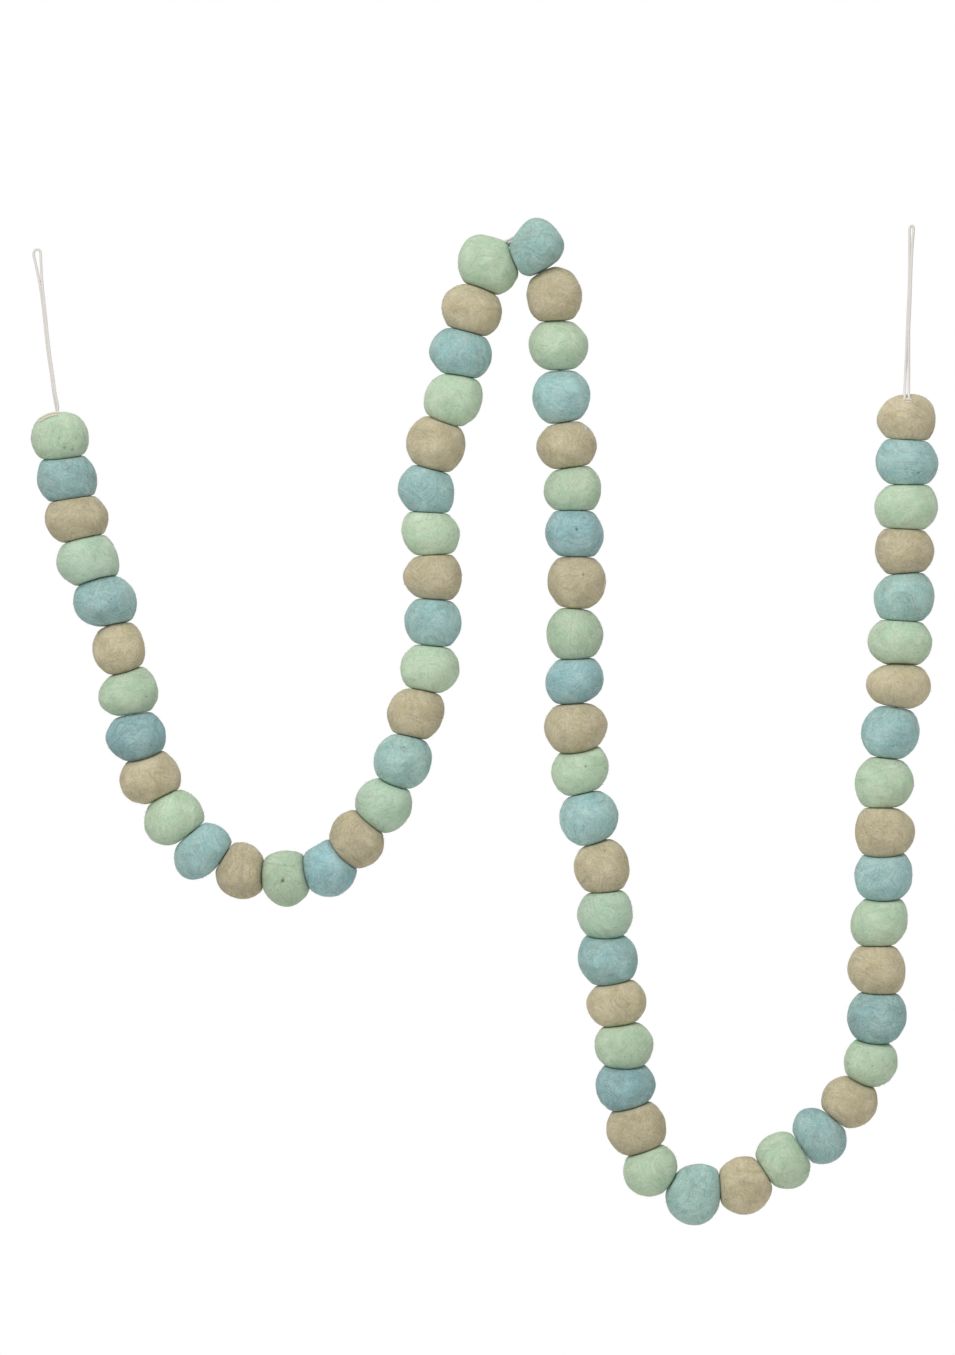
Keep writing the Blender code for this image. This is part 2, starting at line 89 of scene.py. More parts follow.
# Ball: outer x, outer z, inner x, inner z. Joint with the next: the same four, then dip
STRUNG = (
    ((-255.0, -106.0, -224.3, -107.0), (-249.0, -117.3, -227.4, -115.0, 1.5)),
    ((-251.5, -129.0, -219.8, -128.5), (-244.8, -140.0, -221.8, -136.4, 0.0)),
    ((-247.5, -150.5, -214.3, -145.5), (-237.3, -161.8, -216.9, -157.1, -0.7)),
    ((-241.4, -173.5, -208.8, -168.5), (-230.1, -184.6, -209.4, -179.0, -1.5)),
    ((-232.0, -197.0, -199.5, -188.5), (-217.1, -206.3, -202.9, -203.4, -0.6)),
    ((-222.3, -220.0, -194.8, -215.0), (-212.7, -231.6, -196.7, -226.8, 1.5)),
    ((-219.3, -244.5, -187.6, -241.0), (-208.9, -253.6, -192.0, -250.9, 0.0)),
    ((-215.2, -265.5, -184.0, -260.5), (-204.2, -277.4, -185.3, -271.5, 2.5)),
    ((-206.0, -294.5, -178.0, -278.0), (-192.5, -300.2, -176.5, -292.0, -0.8)),
    ((-191.0, -319.0, -166.5, -298.0), (-176.9, -320.6, -163.4, -309.8, 0.0)),
    ((-174.5, -338.5, -155.5, -311.3), (-157.4, -335.0, -148.4, -321.0, 0.0)),
    ((-149.0, -349.1, -139.5, -320.8), (-132.0, -344.9, -131.4, -329.1, -1.7)),
    ((-119.3, -354.4, -120.4, -324.7), (-107.1, -345.2, -110.4, -326.8, -2.2)),
    ((-93.0, -348.8, -102.0, -320.8), (-82.1, -334.2, -97.1, -318.5, -3.0)),
    ((-69.5, -327.0, -91.5, -306.0), (-68.4, -315.5, -83.1, -302.9, -1.5)),
    ((-55.0, -307.5, -80.0, -291.0), (-55.3, -292.0, -70.9, -286.0, -1.7)),
    ((-43.8, -282.5, -71.8, -271.0), (-46.2, -266.1, -62.2, -262.6, 0.6)),
    ((-36.8, -255.5, -65.5, -248.0), (-38.8, -241.5, -55.2, -238.3, 0.3)),
    ((-27.8, -228.5, -58.9, -225.5), (-34.3, -216.8, -50.4, -215.2, -0.3)),
    ((-26.7, -203.5, -57.2, -203.0), (-32.5, -192.1, -50.0, -190.8, -0.2)),
    ((-26.7, -180.7, -57.8, -179.2), (-32.5, -167.5, -50.4, -168.4, 0.0)),
    ((-27.7, -156.4, -58.5, -154.9), (-34.4, -145.8, -54.2, -144.8, -0.4)),
    ((-30.7, -134.7, -60.4, -132.1), (-34.4, -124.4, -51.6, -119.9, -0.7)),
    ((-25.0, -112.0, -55.8, -105.5), (-27.7, -100.1, -44.6, -94.1, -1.2)),
    ((-17.0, -91.0, -44.8, -79.0), (-19.1, -74.6, -36.7, -71.8, 0.4)),
    ((-11.0, -64.5, -43.8, -59.0), (-14.3, -52.3, -33.4, -47.3, 0.0)),
    ((-6.3, -44.5, -36.0, -31.0), (-8.2, -30.4, -24.7, -24.1, 0.9)),
    ((2.7, -21.5, -28.0, -8.0), (3.3, -17.2, -2.2, -4.2, -0.5)),
    ((-1.5, -10.5, 27.5, -3.4), (11.1, -20.3, 21.1, -15.1, -0.5)),
    ((7.8, -32.2, 37.1, -32.6), (15.1, -44.5, 30.4, -43.8, -0.2)),
    ((8.8, -57.9, 40.4, -57.9), (19.3, -70.4, 31.8, -69.9, 0.1)),
    ((10.8, -84.7, 41.3, -81.4), (20.5, -98.8, 34.5, -96.8, 0.0)),
    ((13.1, -111.9, 45.0, -109.5), (22.8, -122.8, 40.0, -120.5, 0.0)),
    ((16.7, -134.1, 47.4, -134.1), (22.8, -144.4, 42.0, -144.5, 0.0)),
    ((17.7, -156.0, 48.6, -157.6), (25.5, -168.9, 42.7, -169.1, 0.0)),
    ((19.0, -180.2, 49.8, -182.2), (26.5, -195.8, 39.7, -196.7, 0.4)),
    ((18.3, -209.3, 48.4, -209.7), (24.8, -223.1, 42.3, -222.3, 1.0)),
    ((17.7, -234.3, 48.7, -232.6), (24.4, -247.2, 39.7, -246.1, 0.6)),
    ((17.2, -257.7, 50.5, -257.3), (25.3, -272.8, 45.6, -269.2, 2.8)),
    ((20.8, -281.9, 51.1, -279.8), (29.8, -296.0, 45.2, -292.5, 0.2)),
    ((25.1, -307.5, 56.2, -304.0), (37.4, -322.5, 51.0, -318.2, 0.9)),
    ((32.7, -333.5, 62.1, -331.5), (40.8, -346.9, 57.7, -345.4, 1.0)),
    ((34.5, -358.5, 63.9, -356.5), (39.5, -369.4, 59.5, -369.4, 3.0)),
    ((35.0, -379.0, 66.6, -381.0), (44.6, -396.2, 63.3, -392.8, 1.4)),
    ((39.5, -406.5, 71.2, -404.0), (48.0, -417.9, 65.8, -415.3, 1.4)),
    ((43.6, -427.5, 74.7, -425.5), (48.9, -438.3, 70.5, -438.1, 3.2)),
    ((44.4, -447.5, 76.1, -448.5), (52.9, -462.9, 72.7, -457.3, 1.8)),
    ((50.6, -476.0, 81.0, -467.0), (61.1, -486.5, 79.4, -480.1, 1.2)),
    ((62.2, -503.5, 85.0, -484.3), (81.3, -505.2, 87.6, -494.7, 0.8)),
    ((98.5, -523.1, 99.5, -490.6), (110.4, -511.1, 109.6, -494.7, 0.4)),
    ((125.7, -517.3, 120.0, -487.0), (138.0, -501.8, 129.0, -487.7, 0.5)),
    ((153.5, -501.8, 136.5, -475.3), (158.1, -489.4, 149.0, -475.3, 0.0)),
    ((173.2, -487.6, 152.5, -463.0), (176.2, -471.6, 164.6, -462.0, 0.0)),
    ((190.0, -467.0, 167.5, -448.0), (191.9, -450.2, 177.6, -443.8, -2.0)),
    ((204.3, -439.5, 176.5, -433.0), (200.3, -426.8, 182.3, -424.5, -2.4)),
    ((209.0, -413.7, 177.6, -411.5), (204.0, -400.2, 184.8, -399.6, -1.4)),
    ((208.5, -387.6, 177.8, -386.0), (202.0, -374.9, 184.4, -374.9, -0.7)),
    ((209.7, -363.1, 179.5, -363.1), (206.0, -350.1, 186.9, -350.1, -2.1)),
    ((212.3, -338.6, 181.4, -337.8), (208.1, -326.0, 186.1, -326.8, -2.5)),
    ((213.6, -314.2, 181.8, -314.2), (204.0, -301.9, 187.1, -301.8, -0.2)),
    ((213.1, -289.3, 181.6, -288.5), (206.1, -276.3, 191.4, -274.7, -0.4)),
    ((215.9, -262.4, 185.0, -261.2), (210.9, -249.8, 196.2, -247.6, 0.0)),
    ((222.1, -237.1, 187.5, -236.3), (215.0, -226.5, 197.5, -226.0, 0.9)),
    ((222.7, -214.7, 188.4, -213.5), (216.7, -203.3, 196.3, -202.1, -0.4)),
    ((223.9, -190.7, 191.8, -190.0), (217.6, -177.2, 199.6, -178.5, 0.3)),
    ((223.8, -166.5, 192.3, -166.1), (218.4, -154.8, 197.6, -153.7, -0.1)),
    ((225.7, -142.6, 191.9, -142.2), (220.0, -130.6, 200.0, -130.6, -0.5)),
    ((226.0, -119.8, 192.7, -118.6), (219.6, -107.5, 198.8, -106.3, -0.2)),
    ((224.5, -95.5, 193.3, -95.9), None),
)

# The four ends that press on nothing: shoulder, tip, shoulder, and where the string comes out (x, y, z)
FREE_ENDS = {
    1: FreeEnd((-250.3, -95.3), (-240.5, -92.3), (-229.8, -94.6), (-241.0, 0.0, -92.4)),
    28: FreeEnd((0.5, -6.0), (-10.5, 0.8), (-21.2, 0.8), (-4.6, 1.0, -2.7)),
    29: FreeEnd((2.9, 3.1), (12.3, 10.6), (22.2, 5.6), (5.6, 5.4, 3.0)),
    69: FreeEnd((220.4, -85.5), (209.2, -82.9), (197.2, -87.9), (209.2, 0.0, -83.0)),
}
PEAK_BALL = 28
FREE_STARTS = (1, PEAK_BALL + 1)
FREE_STOPS = (PEAK_BALL, len(STRUNG))

# How far the hook pushes a ball to the front
FORWARD = {29: 5.0, 30: 2.0}

# Every seventh pair of neighbours is one solid in the frame
FIRST_PAIRED = 3
PAIR_STEP = 7

# The two strands of the string where they go over the middle hook (x, y, z)
PEAK_STRANDS = (
    ((-2.2, 2.6, -2.6), (0.2, 5.4, -1.1), (2.6, 8.0, 0.3), (4.6, 8.8, 0.9)),
    ((-2.2, 3.4, -1.2), (0.2, 6.2, 0.3), (2.6, 8.6, 1.5), (4.6, 9.4, 2.2)),
)

# The knot that holds it to the hook: its middle (x, y, z) and its scale
HOOK_KNOT_SPOT = (-1.3, 6.6, -2.5)
HOOK_KNOT_SCALE = (0.52, 0.45, 0.5)

# One strand round each hook
LEFT_LOOP = (
    (-240.7, -0.70, -89.0), (-242.1, -0.50, -82.0), (-243.4, -0.45, -72.0), (-244.9, -0.45, -62.0),
    (-246.3, -0.45, -50.0), (-247.3, -0.45, -40.0), (-248.3, -0.45, -31.0), (-248.9, -0.45, -25.0),
    (-249.3, -0.35, -20.0), (-249.6, -0.25, -14.0), (-249.8, -0.10, -9.5), (-249.9, 0.0, -7.6),
    (-250.6, 0.0, -6.3), (-251.7, 0.0, -5.9), (-252.8, 0.0, -6.4), (-253.5, 0.10, -7.8),
    (-253.3, 0.20, -10.0), (-252.3, 0.30, -14.5), (-251.1, 0.40, -20.0), (-250.2, 0.45, -25.0),
    (-249.3, 0.45, -31.0), (-248.2, 0.45, -40.0), (-247.2, 0.45, -50.0), (-245.8, 0.45, -62.0),
    (-244.3, 0.45, -72.0), (-243.0, 0.50, -82.0), (-241.7, 0.70, -89.0),
)
RIGHT_LOOP = (
    (210.1, -6.3, -82.6), (210.2, -2.6, -78.5), (210.3, -0.9, -72.0), (210.3, -0.50, -62.0),
    (210.3, -0.45, -50.0), (210.7, -0.45, -40.0), (211.1, -0.45, -30.0), (211.4, -0.45, -20.0),
    (211.8, -0.35, -10.0), (212.3, -0.20, -2.0), (212.8, -0.10, 3.0), (212.8, 0.0, 5.4),
    (211.9, 0.0, 6.7), (210.9, 0.0, 5.4), (210.7, 0.10, 3.0), (210.7, 0.20, -2.0),
    (210.7, 0.35, -10.0), (210.6, 0.45, -20.0), (210.3, 0.45, -30.0), (209.8, 0.45, -40.0),
    (209.4, 0.45, -50.0), (209.0, 0.45, -62.0), (208.5, 0.10, -72.0), (208.1, -2.60, -78.5),
    (207.9, -6.3, -82.6),
)

# The frayed tail that lies on the first ball, from the string's hole: two strands (x, z)
TAIL_STRANDS = (
    ((-239.8, -93.0), (-242.4, -93.1), (-244.9, -93.7), (-247.2, -94.7), (-249.1, -95.8)),
    ((-240.8, -94.2), (-243.0, -94.4), (-245.6, -95.2), (-248.0, -96.3), (-250.0, -97.6)),
)
TAIL_LIFT = 0.25

# The knot on the last ball: its middle (x, z), and two turns across it (x and z from the middle, lift)
KNOT_SPOT = (209.5, -86.2)
KNOT_TURNS = (
    ((-2.0, 0.1, -0.9), (-1.5, 0.1, 0.3), (0.0, 0.0, 0.5), (1.5, -0.1, 0.3), (2.0, -0.1, -0.9)),
    ((-1.8, -0.7, -1.3), (-1.2, -0.8, -0.35), (0.0, -0.85, -0.2), (1.2, -0.9, -0.35), (1.8, -1.0, -1.3)),
)
KNOT_LEGS = (0.6, -1.7)


def unit(vector: np.ndarray) -> np.ndarray:
    """The vector's direction, one long."""
    return vector / np.linalg.norm(vector)


def in_plane(xz: Pair) -> np.ndarray:
    """A point of the tables, which lies in the garland's plane."""
    return np.array((xz[0], 0.0, xz[1]))


def deselect() -> None:
    """Leaves object mode with nothing selected."""
    if bpy.context.mode != "OBJECT":
        bpy.ops.object.mode_set(mode="OBJECT")
    bpy.ops.object.select_all(action="DESELECT")


def activate(piece: bpy.types.Object) -> None:
    """Selects one piece alone and makes it the active one.

    Args:
        piece: the piece.
    """
    deselect()
    piece.select_set(True)
    bpy.context.view_layer.objects.active = piece


def places_of(mesh: bpy.types.Mesh) -> np.ndarray:
    """The vertices' places.

    Args:
        mesh: the mesh to read.

    Returns:
        An array of one row for each vertex, in metres.
    """
    places = np.empty(len(mesh.vertices) * 3)
    mesh.vertices.foreach_get("co", places)
    return places.reshape(-1, 3)


def set_places(mesh: bpy.types.Mesh, places: np.ndarray) -> None:
    """Moves the vertices to new places, in metres."""
    mesh.vertices.foreach_set("co", places.ravel())
    mesh.update()


def front_of(piece: bpy.types.Object, x: float, z: float) -> np.ndarray:
    """The point of a piece's front that shows at a place of the garland's plane.

    Args:
        piece: the piece, which lies untransformed.
        x: where the place is across, in millimetres.
        z: how high it is, in millimetres.

    Returns:
        The point, in millimetres.
    """
    bpy.context.view_layer.update()
    before = np.array((x, 0.0, z)) + RAY_START * FRONT
    found, spot, _, _ = piece.ray_cast(tuple(before * MM), tuple(-FRONT))
    if not found:
        raise ValueError(f"{piece.name} has no front at {x}, {z}")
    return np.array(spot) / MM


def put_attribute(mesh: bpy.types.Mesh, name: str, values: np.ndarray) -> None:
    """Stores a number or a vector on each vertex.

    Args:
        mesh: the mesh to write to.
        name: the attribute's name, which the materials read.
        values: one number for each vertex, or one row of three.
    """
    is_vector = values.ndim == 2
    kind = "FLOAT_VECTOR" if is_vector else "FLOAT"
    attribute = mesh.attributes.get(name) or mesh.attributes.new(name, kind, "POINT")
    attribute.data.foreach_set("vector" if is_vector else "value", values.astype(np.float32).ravel())


class Wool(Enum):
    """The wools, in the order in which they repeat along the string."""

    MINT = "wool_mint"
    AQUA = "wool_aqua"
    BEIGE = "wool_beige"

    @staticmethod
    def of_ball(number: int) -> Wool:
        """The wool of a ball, counted from the left end."""
        return list(Wool)[(number - 1) % len(Wool)]


@dataclass
class NodeBench:
    """Adds nodes to one node tree, sets their values and wires them."""

    tree: bpy.types.NodeTree

    def fill(self, node: bpy.types.Node, inputs: dict) -> None:
        """Sets some of a node's inputs.

        Args:
            node: the node.
            inputs: socket name or number to a value, or to another node's output to wire in.
        """
        for key, value in inputs.items():
            if isinstance(value, Socket):
                self.tree.links.new(value, node.inputs[key])
            else:
                node.inputs[key].default_value = value

    def surface(self, inputs: dict) -> None:
        """Sets some inputs of the material's Principled BSDF, as fill does."""
        self.fill(self.tree.nodes["Principled BSDF"], inputs)

    def add(self, kind: str, inputs: dict | None = None, **settings: object) -> bpy.types.Node:
        """Adds one node.

        Args:
            kind: the node's type name.
            inputs: what its inputs are set to, as for fill.
            settings: properties of the node itself.

        Returns:
            The new node.
        """
        node = self.tree.nodes.new(kind)
        for name, value in settings.items():
            setattr(node, name, value)
        self.fill(node, inputs or {})
        return node

    def place(self) -> Socket:
        """The place on the garland, in metres."""
        return self.add("ShaderNodeTexCoord").outputs["Object"]

    def attribute(self, name: str, output: str) -> Socket:
        """One of the mesh's attributes: its Fac, or its Vector."""
        return self.add("ShaderNodeAttribute", attribute_name=name).outputs[output]

    def math(self, operation: str, *values: object) -> Socket:
        """The result of a Math node on numbers or sockets."""
        return self.add("ShaderNodeMath", dict(enumerate(values)), operation=operation).outputs[0]

    def vector(self, operation: str, *values: object) -> Socket:
        """The result of a Vector Math node on vectors or sockets."""
        return self.add("ShaderNodeVectorMath", dict(enumerate(values)), operation=operation).outputs[0]

    def scaled(self, vector: object, level: object) -> Socket:
        """A vector or a colour times a number."""
        return self.add("ShaderNodeVectorMath", {0: vector, "Scale": level}, operation="SCALE").outputs[0]

    def mix(self, kind: str, share: object, first: object, second: object) -> Socket:
        """A blend of two numbers or colours, by the share of the second; the kind is FLOAT or RGBA."""
        sources = {"Factor": share, "A": first, "B": second}
        return self.add("ShaderNodeMix", sources, data_type=kind).outputs["Result"]

    def ramp(self, value: object, limits: Pair, ends: Pair = (0.0, 1.0)) -> Socket:
        """A soft step from one end to the other as a value goes from one limit to the other.

        Args:
            value: the socket of the value.
            limits: the two values between which the step lies.
            ends: the results at the two limits.

        Returns:
            The step's socket.
        """
        sockets = ("Value", "From Min", "From Max", "To Min", "To Max")
        inputs = dict(zip(sockets, (value, *limits, *ends)))
        return self.add("ShaderNodeMapRange", inputs, interpolation_type="SMOOTHSTEP").outputs["Result"]

    def noise(
        self, where: object, scale: float, detail: float, roughness: float = 0.55, output: str = "Fac"
    ) -> Socket:
        """A noise, by its lumps for each unit of the place, its finer layers and how strong they are."""
        inputs = {"Vector": where, "Scale": scale, "Detail": detail, "Roughness": roughness}
        return self.add("ShaderNodeTexNoise", inputs, noise_dimensions="3D").outputs[output]

    def total(self, start: float, *parts: tuple) -> Socket:
        """A start value plus noises about their middle, each with its own weight.

        Args:
            start: the value where every noise is at its middle.
            parts: pairs of a noise's socket and its weight.

        Returns:
            The sum's socket.
        """
        result = start
        for noise, weight in parts:
            result = self.math("MULTIPLY_ADD", self.math("SUBTRACT", noise, 0.5), weight, result)
        return result


def new_group(name: str, inputs: dict[str, str], outputs: dict[str, str]) -> tuple:
    """Makes an empty shader node group.

    Args:
        name: the group's name.
        inputs: socket name to socket type, without the NodeSocket before it.
        outputs: the same for the sockets that it puts out.

    Returns:
        The group, a bench on it, its input node and its output node.
    """
    group = bpy.data.node_groups.new(name, "ShaderNodeTree")
    for way, sockets in (("INPUT", inputs), ("OUTPUT", outputs)):
        for socket, kind in sockets.items():
            group.interface.new_socket(name=socket, in_out=way, socket_type=f"NodeSocket{kind}")
    bench = NodeBench(group)
    return group, bench, bench.add("NodeGroupInput"), bench.add("NodeGroupOutput")


def new_material(name: str) -> tuple[bpy.types.Material, NodeBench]:
    """Makes a material.

    Args:
        name: the material's name.

    Returns:
        The material, and a bench on its nodes.
    """
    material = bpy.data.materials.new(name)
    material.use_nodes = True
    return material, NodeBench(material.node_tree)


@dataclass(frozen=True)
class MattedWool:
    """The look of matted wool: clouds of tone, wound bands of fibre, grain, and creases and pits darkened
    partly by painted shade.

    A scale counts lumps or streaks to a metre; a pair of scales is for along and across the fibres.
    """

    cloud_scale: float = 90.0
    patch_scale: float = 110.0
    patch_shift: Triple = (1.7, 0.6, 2.3)
    grain_scale: float = 950.0
    swirl_scale: float = 65.0
    swirl_reach: float = 0.024
    band_scales: Pair = (60.0, 400.0)
    strand_scales: Pair = (170.0, 1250.0)
    streak_roughness: float = 0.6
    cross_stretch: float = 1.1
    turned_scale: float = 70.0
    turned_limits: Pair = (0.52, 0.62)
    crease_scales: Triple = (80.0, 95.0, 230.0)
    crease_width: float = 0.018
    crease_spot_scale: float = 85.0
    crease_spot_limits: Pair = (0.56, 0.66)
    crease_painted_shade: float = 0.14
    crease_depth: float = 0.5
    deep_middle: float = 0.42
    deep_from_patches: float = 2.3
    deep_from_bands: float = 1.3
    tone_from_clouds: float = 0.26
    tone_from_bands: float = 0.46
    tone_from_strands: float = 0.44
    tone_from_grain: float = 0.46
    speck_and_shade_from_grain: float = 1.0
    speck_and_shade_from_bands: float = 0.8
    pit_speck_and_shade_limits: Pair = (0.25, 1.05)
    pit_speck_and_shade_darkness: float = 0.38
    deep_pit_shade_limits: Pair = (1.05, 1.5)
    deep_pit_shade_darkness: float = 0.5
    height_from_grain: float = 0.7
    height_from_strands: float = 0.8
    height_from_bands: float = 0.9

    def crossed(
        self, bench: NodeBench, wound: object, scales: Pair, detail: float, turned: object
    ) -> Socket:
        """Long streaks that run round the wound ball, and across it where the mask says so.

        Args:
            bench: the group's bench.
            wound: the socket of the place on the wound ball.
            scales: streaks for each metre along the fibres, and across them.
            detail: how many finer layers the streaks have.
            turned: the mask of where they run across.

        Returns:
            The streaks' socket.
        """
        along, across = scales
        ways = ((along, along, across), (across, along, along * self.cross_stretch))
        stretched = [bench.vector("MULTIPLY", wound, way) for way in ways]
        round_way, cross_way = (bench.noise(at, 1.0, detail, self.streak_roughness) for at in stretched)
        return bench.mix("FLOAT", turned, round_way, cross_way)

    def creases(self, bench: NodeBench, wound: object, place: object) -> Socket:
        """Short thin creases where the noise crosses its middle, in a few spots only, for a dent and for
        painted shade in it.

        Args:
            bench: the group's bench.
            wound: the socket of the place on the wound ball.
            place: the socket of the place on the garland.

        Returns:
            The creases' socket, 1 in the middle of a crease.
        """
        stretched = bench.vector("MULTIPLY", wound, self.crease_scales)
        folds = bench.noise(stretched, scale=1.0, detail=1.0, roughness=0.5)
        off = bench.math("ABSOLUTE", bench.math("SUBTRACT", folds, 0.5))
        thin = bench.ramp(off, (0.0, self.crease_width), (1.0, 0.0))
        rare = bench.ramp(bench.noise(place, self.crease_spot_scale, detail=1.0), self.crease_spot_limits)
        return bench.math("MULTIPLY", thin, rare)

    def group(self) -> bpy.types.NodeTree:
        """The wool as a node group.

        Returns:
            A group that puts out a colour and a height.
        """
        inputs = dict.fromkeys(("Place", "Winding", "Cast"), "Vector")
        inputs |= dict.fromkeys(("Colour", "Deep Colour"), "Color")
        # Pit is the pit mark: dark specks of the wool and painted shade in pits, creases and dimples.
        inputs |= dict.fromkeys(("Contrast", "Tone", "Pit"), "Float")
        group, bench, given, out = new_group("matted_wool", inputs, {"Colour": "Color", "Height": "Float"})
        place, winding = given.outputs["Place"], given.outputs["Winding"]
        clouds = bench.noise(place, self.cloud_scale, detail=2.0, roughness=0.5)
        patches = bench.noise(bench.vector("ADD", place, self.patch_shift), self.patch_scale, detail=2.5)
        grain = bench.noise(place, self.grain_scale, detail=2.0, roughness=0.7)
        swirl = bench.noise(winding, self.swirl_scale, detail=1.0, roughness=0.5, output="Color")
        swirl = bench.vector("SUBTRACT", swirl, (0.5, 0.5, 0.5))
        wound = bench.vector("ADD", winding, bench.vector("MULTIPLY", swirl, (self.swirl_reach,) * 3))
        turned = bench.ramp(bench.noise(place, self.turned_scale, detail=0.0), self.turned_limits)
        bands = self.crossed(bench, wound, self.band_scales, 2.0, turned)
        strands = self.crossed(bench, wound, self.strand_scales, 2.5, turned)
        creases = self.creases(bench, wound, place)
        deep = bench.total(self.deep_middle, (patches, self.deep_from_patches), (bands, self.deep_from_bands))
        deep = bench.add("ShaderNodeClamp", {"Value": deep}).outputs["Result"]
        base = bench.mix("RGBA", deep, given.outputs["Colour"], given.outputs["Deep Colour"])
        uneven = bench.total(
            0.0,
            (clouds, self.tone_from_clouds),
            (bands, self.tone_from_bands),
            (strands, self.tone_from_strands),
            (grain, self.tone_from_grain),
        )
        level = bench.math("MULTIPLY_ADD", uneven, given.outputs["Contrast"], 1.0)
        level = bench.math("ADD", level, given.outputs["Tone"])
        # Painted shade: the colour is darkened along each crease, where shade would fall in it.
        level = bench.math("MULTIPLY_ADD", creases, -self.crease_painted_shade, level)
        # The pit mark darkens the colour: partly dark specks and smudges of the wool, partly painted shade in
        # the hollows, with a further step of painted shade in deep ones.
        ragged_speck_and_shade = bench.total(0.0, (grain, self.speck_and_shade_from_grain), (bands, self.speck_and_shade_from_bands))
        ragged_speck_and_shade = bench.math("ADD", given.outputs["Pit"], ragged_speck_and_shade)
        for limits, darkness in (
            (self.pit_speck_and_shade_limits, self.pit_speck_and_shade_darkness),
            (self.deep_pit_shade_limits, self.deep_pit_shade_darkness),
        ):
            kept_after_speck_and_shade = bench.math("MULTIPLY_ADD", bench.ramp(ragged_speck_and_shade, limits), -darkness, 1.0)
            level = bench.math("MULTIPLY", level, kept_after_speck_and_shade)
        height = bench.total(
            0.0,
            (grain, self.height_from_grain),
            (strands, self.height_from_strands),
            (bands, self.height_from_bands),
        )
        height = bench.math("MULTIPLY_ADD", creases, -self.crease_depth, height)
        colour = bench.vector("MULTIPLY", bench.scaled(base, level), given.outputs["Cast"])
        bench.fill(out, {"Colour": colour, "Height": height})
        return group


@dataclass(frozen=True)
class FeltFinish:
    """Matted wool in one colour."""

    wool: Wool
    colour: Triple
    deep_colour: Triple
    contrast: float
    roughness: float = 0.95
    specular: float = 0.15
    sheen: float = 0.15
    sheen_roughness: float = 0.45
    bump_strength: float = 0.7
    bump_depth: float = 0.00035

    def material(self, matted_wool: bpy.types.NodeTree) -> bpy.types.Material:
        """The wool's material.

        Args:
            matted_wool: the group that gives the wool's colour and height.

        Returns:
            The new material.
        """
        material, bench = new_material(f"felt_{self.wool.value}")
        sources = {
            "Place": bench.place(),
            "Winding": bench.attribute("winding", "Vector"),
            "Tone": bench.attribute("tone", "Fac"),
            "Cast": bench.attribute("cast", "Vector"),
            # The pit mark: dark specks of the wool and painted shade in pits, creases and dimples.
            "Pit": bench.attribute("pit", "Fac"),
            "Colour": (*self.colour, 1.0),
            "Deep Colour": (*self.deep_colour, 1.0),
            "Contrast": self.contrast,
        }
        look = bench.add("ShaderNodeGroup", sources, node_tree=matted_wool).outputs
        bump = {"Strength": self.bump_strength, "Distance": self.bump_depth, "Height": look["Height"]}
        dressed = {
            "Base Color": look["Colour"],
            "Normal": bench.add("ShaderNodeBump", bump).outputs["Normal"],
            "Roughness": self.roughness,
            "Specular IOR Level": self.specular,
            "Sheen Weight": self.sheen,
            "Sheen Roughness": self.sheen_roughness,
        }
        bench.surface(dressed)
        return material


@dataclass(frozen=True)
class CottonFinish:
    """Off-white twisted cotton string, dulled where wool has matted into it."""

    colour: Triple = (0.76, 0.73, 0.695)
    matted_colour: Triple = (0.65, 0.615, 0.49)
    fibre_scale: float = 3500.0
    fibre_stretch: Triple = (1.0, 1.0, 0.35)
    darkest: float = 0.85
    fibre_contrast: float = 0.3
    roughness: float = 0.85
    sheen: float = 0.2
    bump_strength: float = 0.5
    bump_depth: float = 0.0001

    def material(self) -> bpy.types.Material:
        """The string's material, with fine fibres along it.

        Returns:
            The new material.
        """
        material, bench = new_material("twisted_cotton")
        place = bench.vector("MULTIPLY", bench.place(), self.fibre_stretch)
        fibres = bench.noise(place, self.fibre_scale, detail=2.0)
        level = bench.math("MULTIPLY_ADD", fibres, self.fibre_contrast, self.darkest)
        matted = bench.attribute("matted", "Fac")
        mixed = bench.mix("RGBA", matted, (*self.colour, 1.0), (*self.matted_colour, 1.0))
        bump = {"Strength": self.bump_strength, "Distance": self.bump_depth, "Height": fibres}
        dressed = {
            "Base Color": bench.scaled(mixed, level),
            "Normal": bench.add("ShaderNodeBump", bump).outputs["Normal"],
            "Roughness": self.roughness,
            "Sheen Weight": self.sheen,
        }
        bench.surface(dressed)
        return material


@dataclass(frozen=True)
class FloorFinish:
    """Plain pale studio floor."""

    colour: Triple = (0.82, 0.82, 0.81)
    cloud_scale: float = 3.0
    cloud_contrast: float = 0.04
    darkest: float = 0.98
    roughness: float = 0.8

    def material(self) -> bpy.types.Material:
        """The floor's material, faintly clouded.

        Returns:
            The new material.
        """
        material, bench = new_material("pale_floor")
        clouds = bench.noise(bench.place(), self.cloud_scale, detail=2.0)
        level = bench.math("MULTIPLY_ADD", clouds, self.cloud_contrast, self.darkest)
        bench.surface({"Base Color": bench.scaled(self.colour, level), "Roughness": self.roughness})
        return material


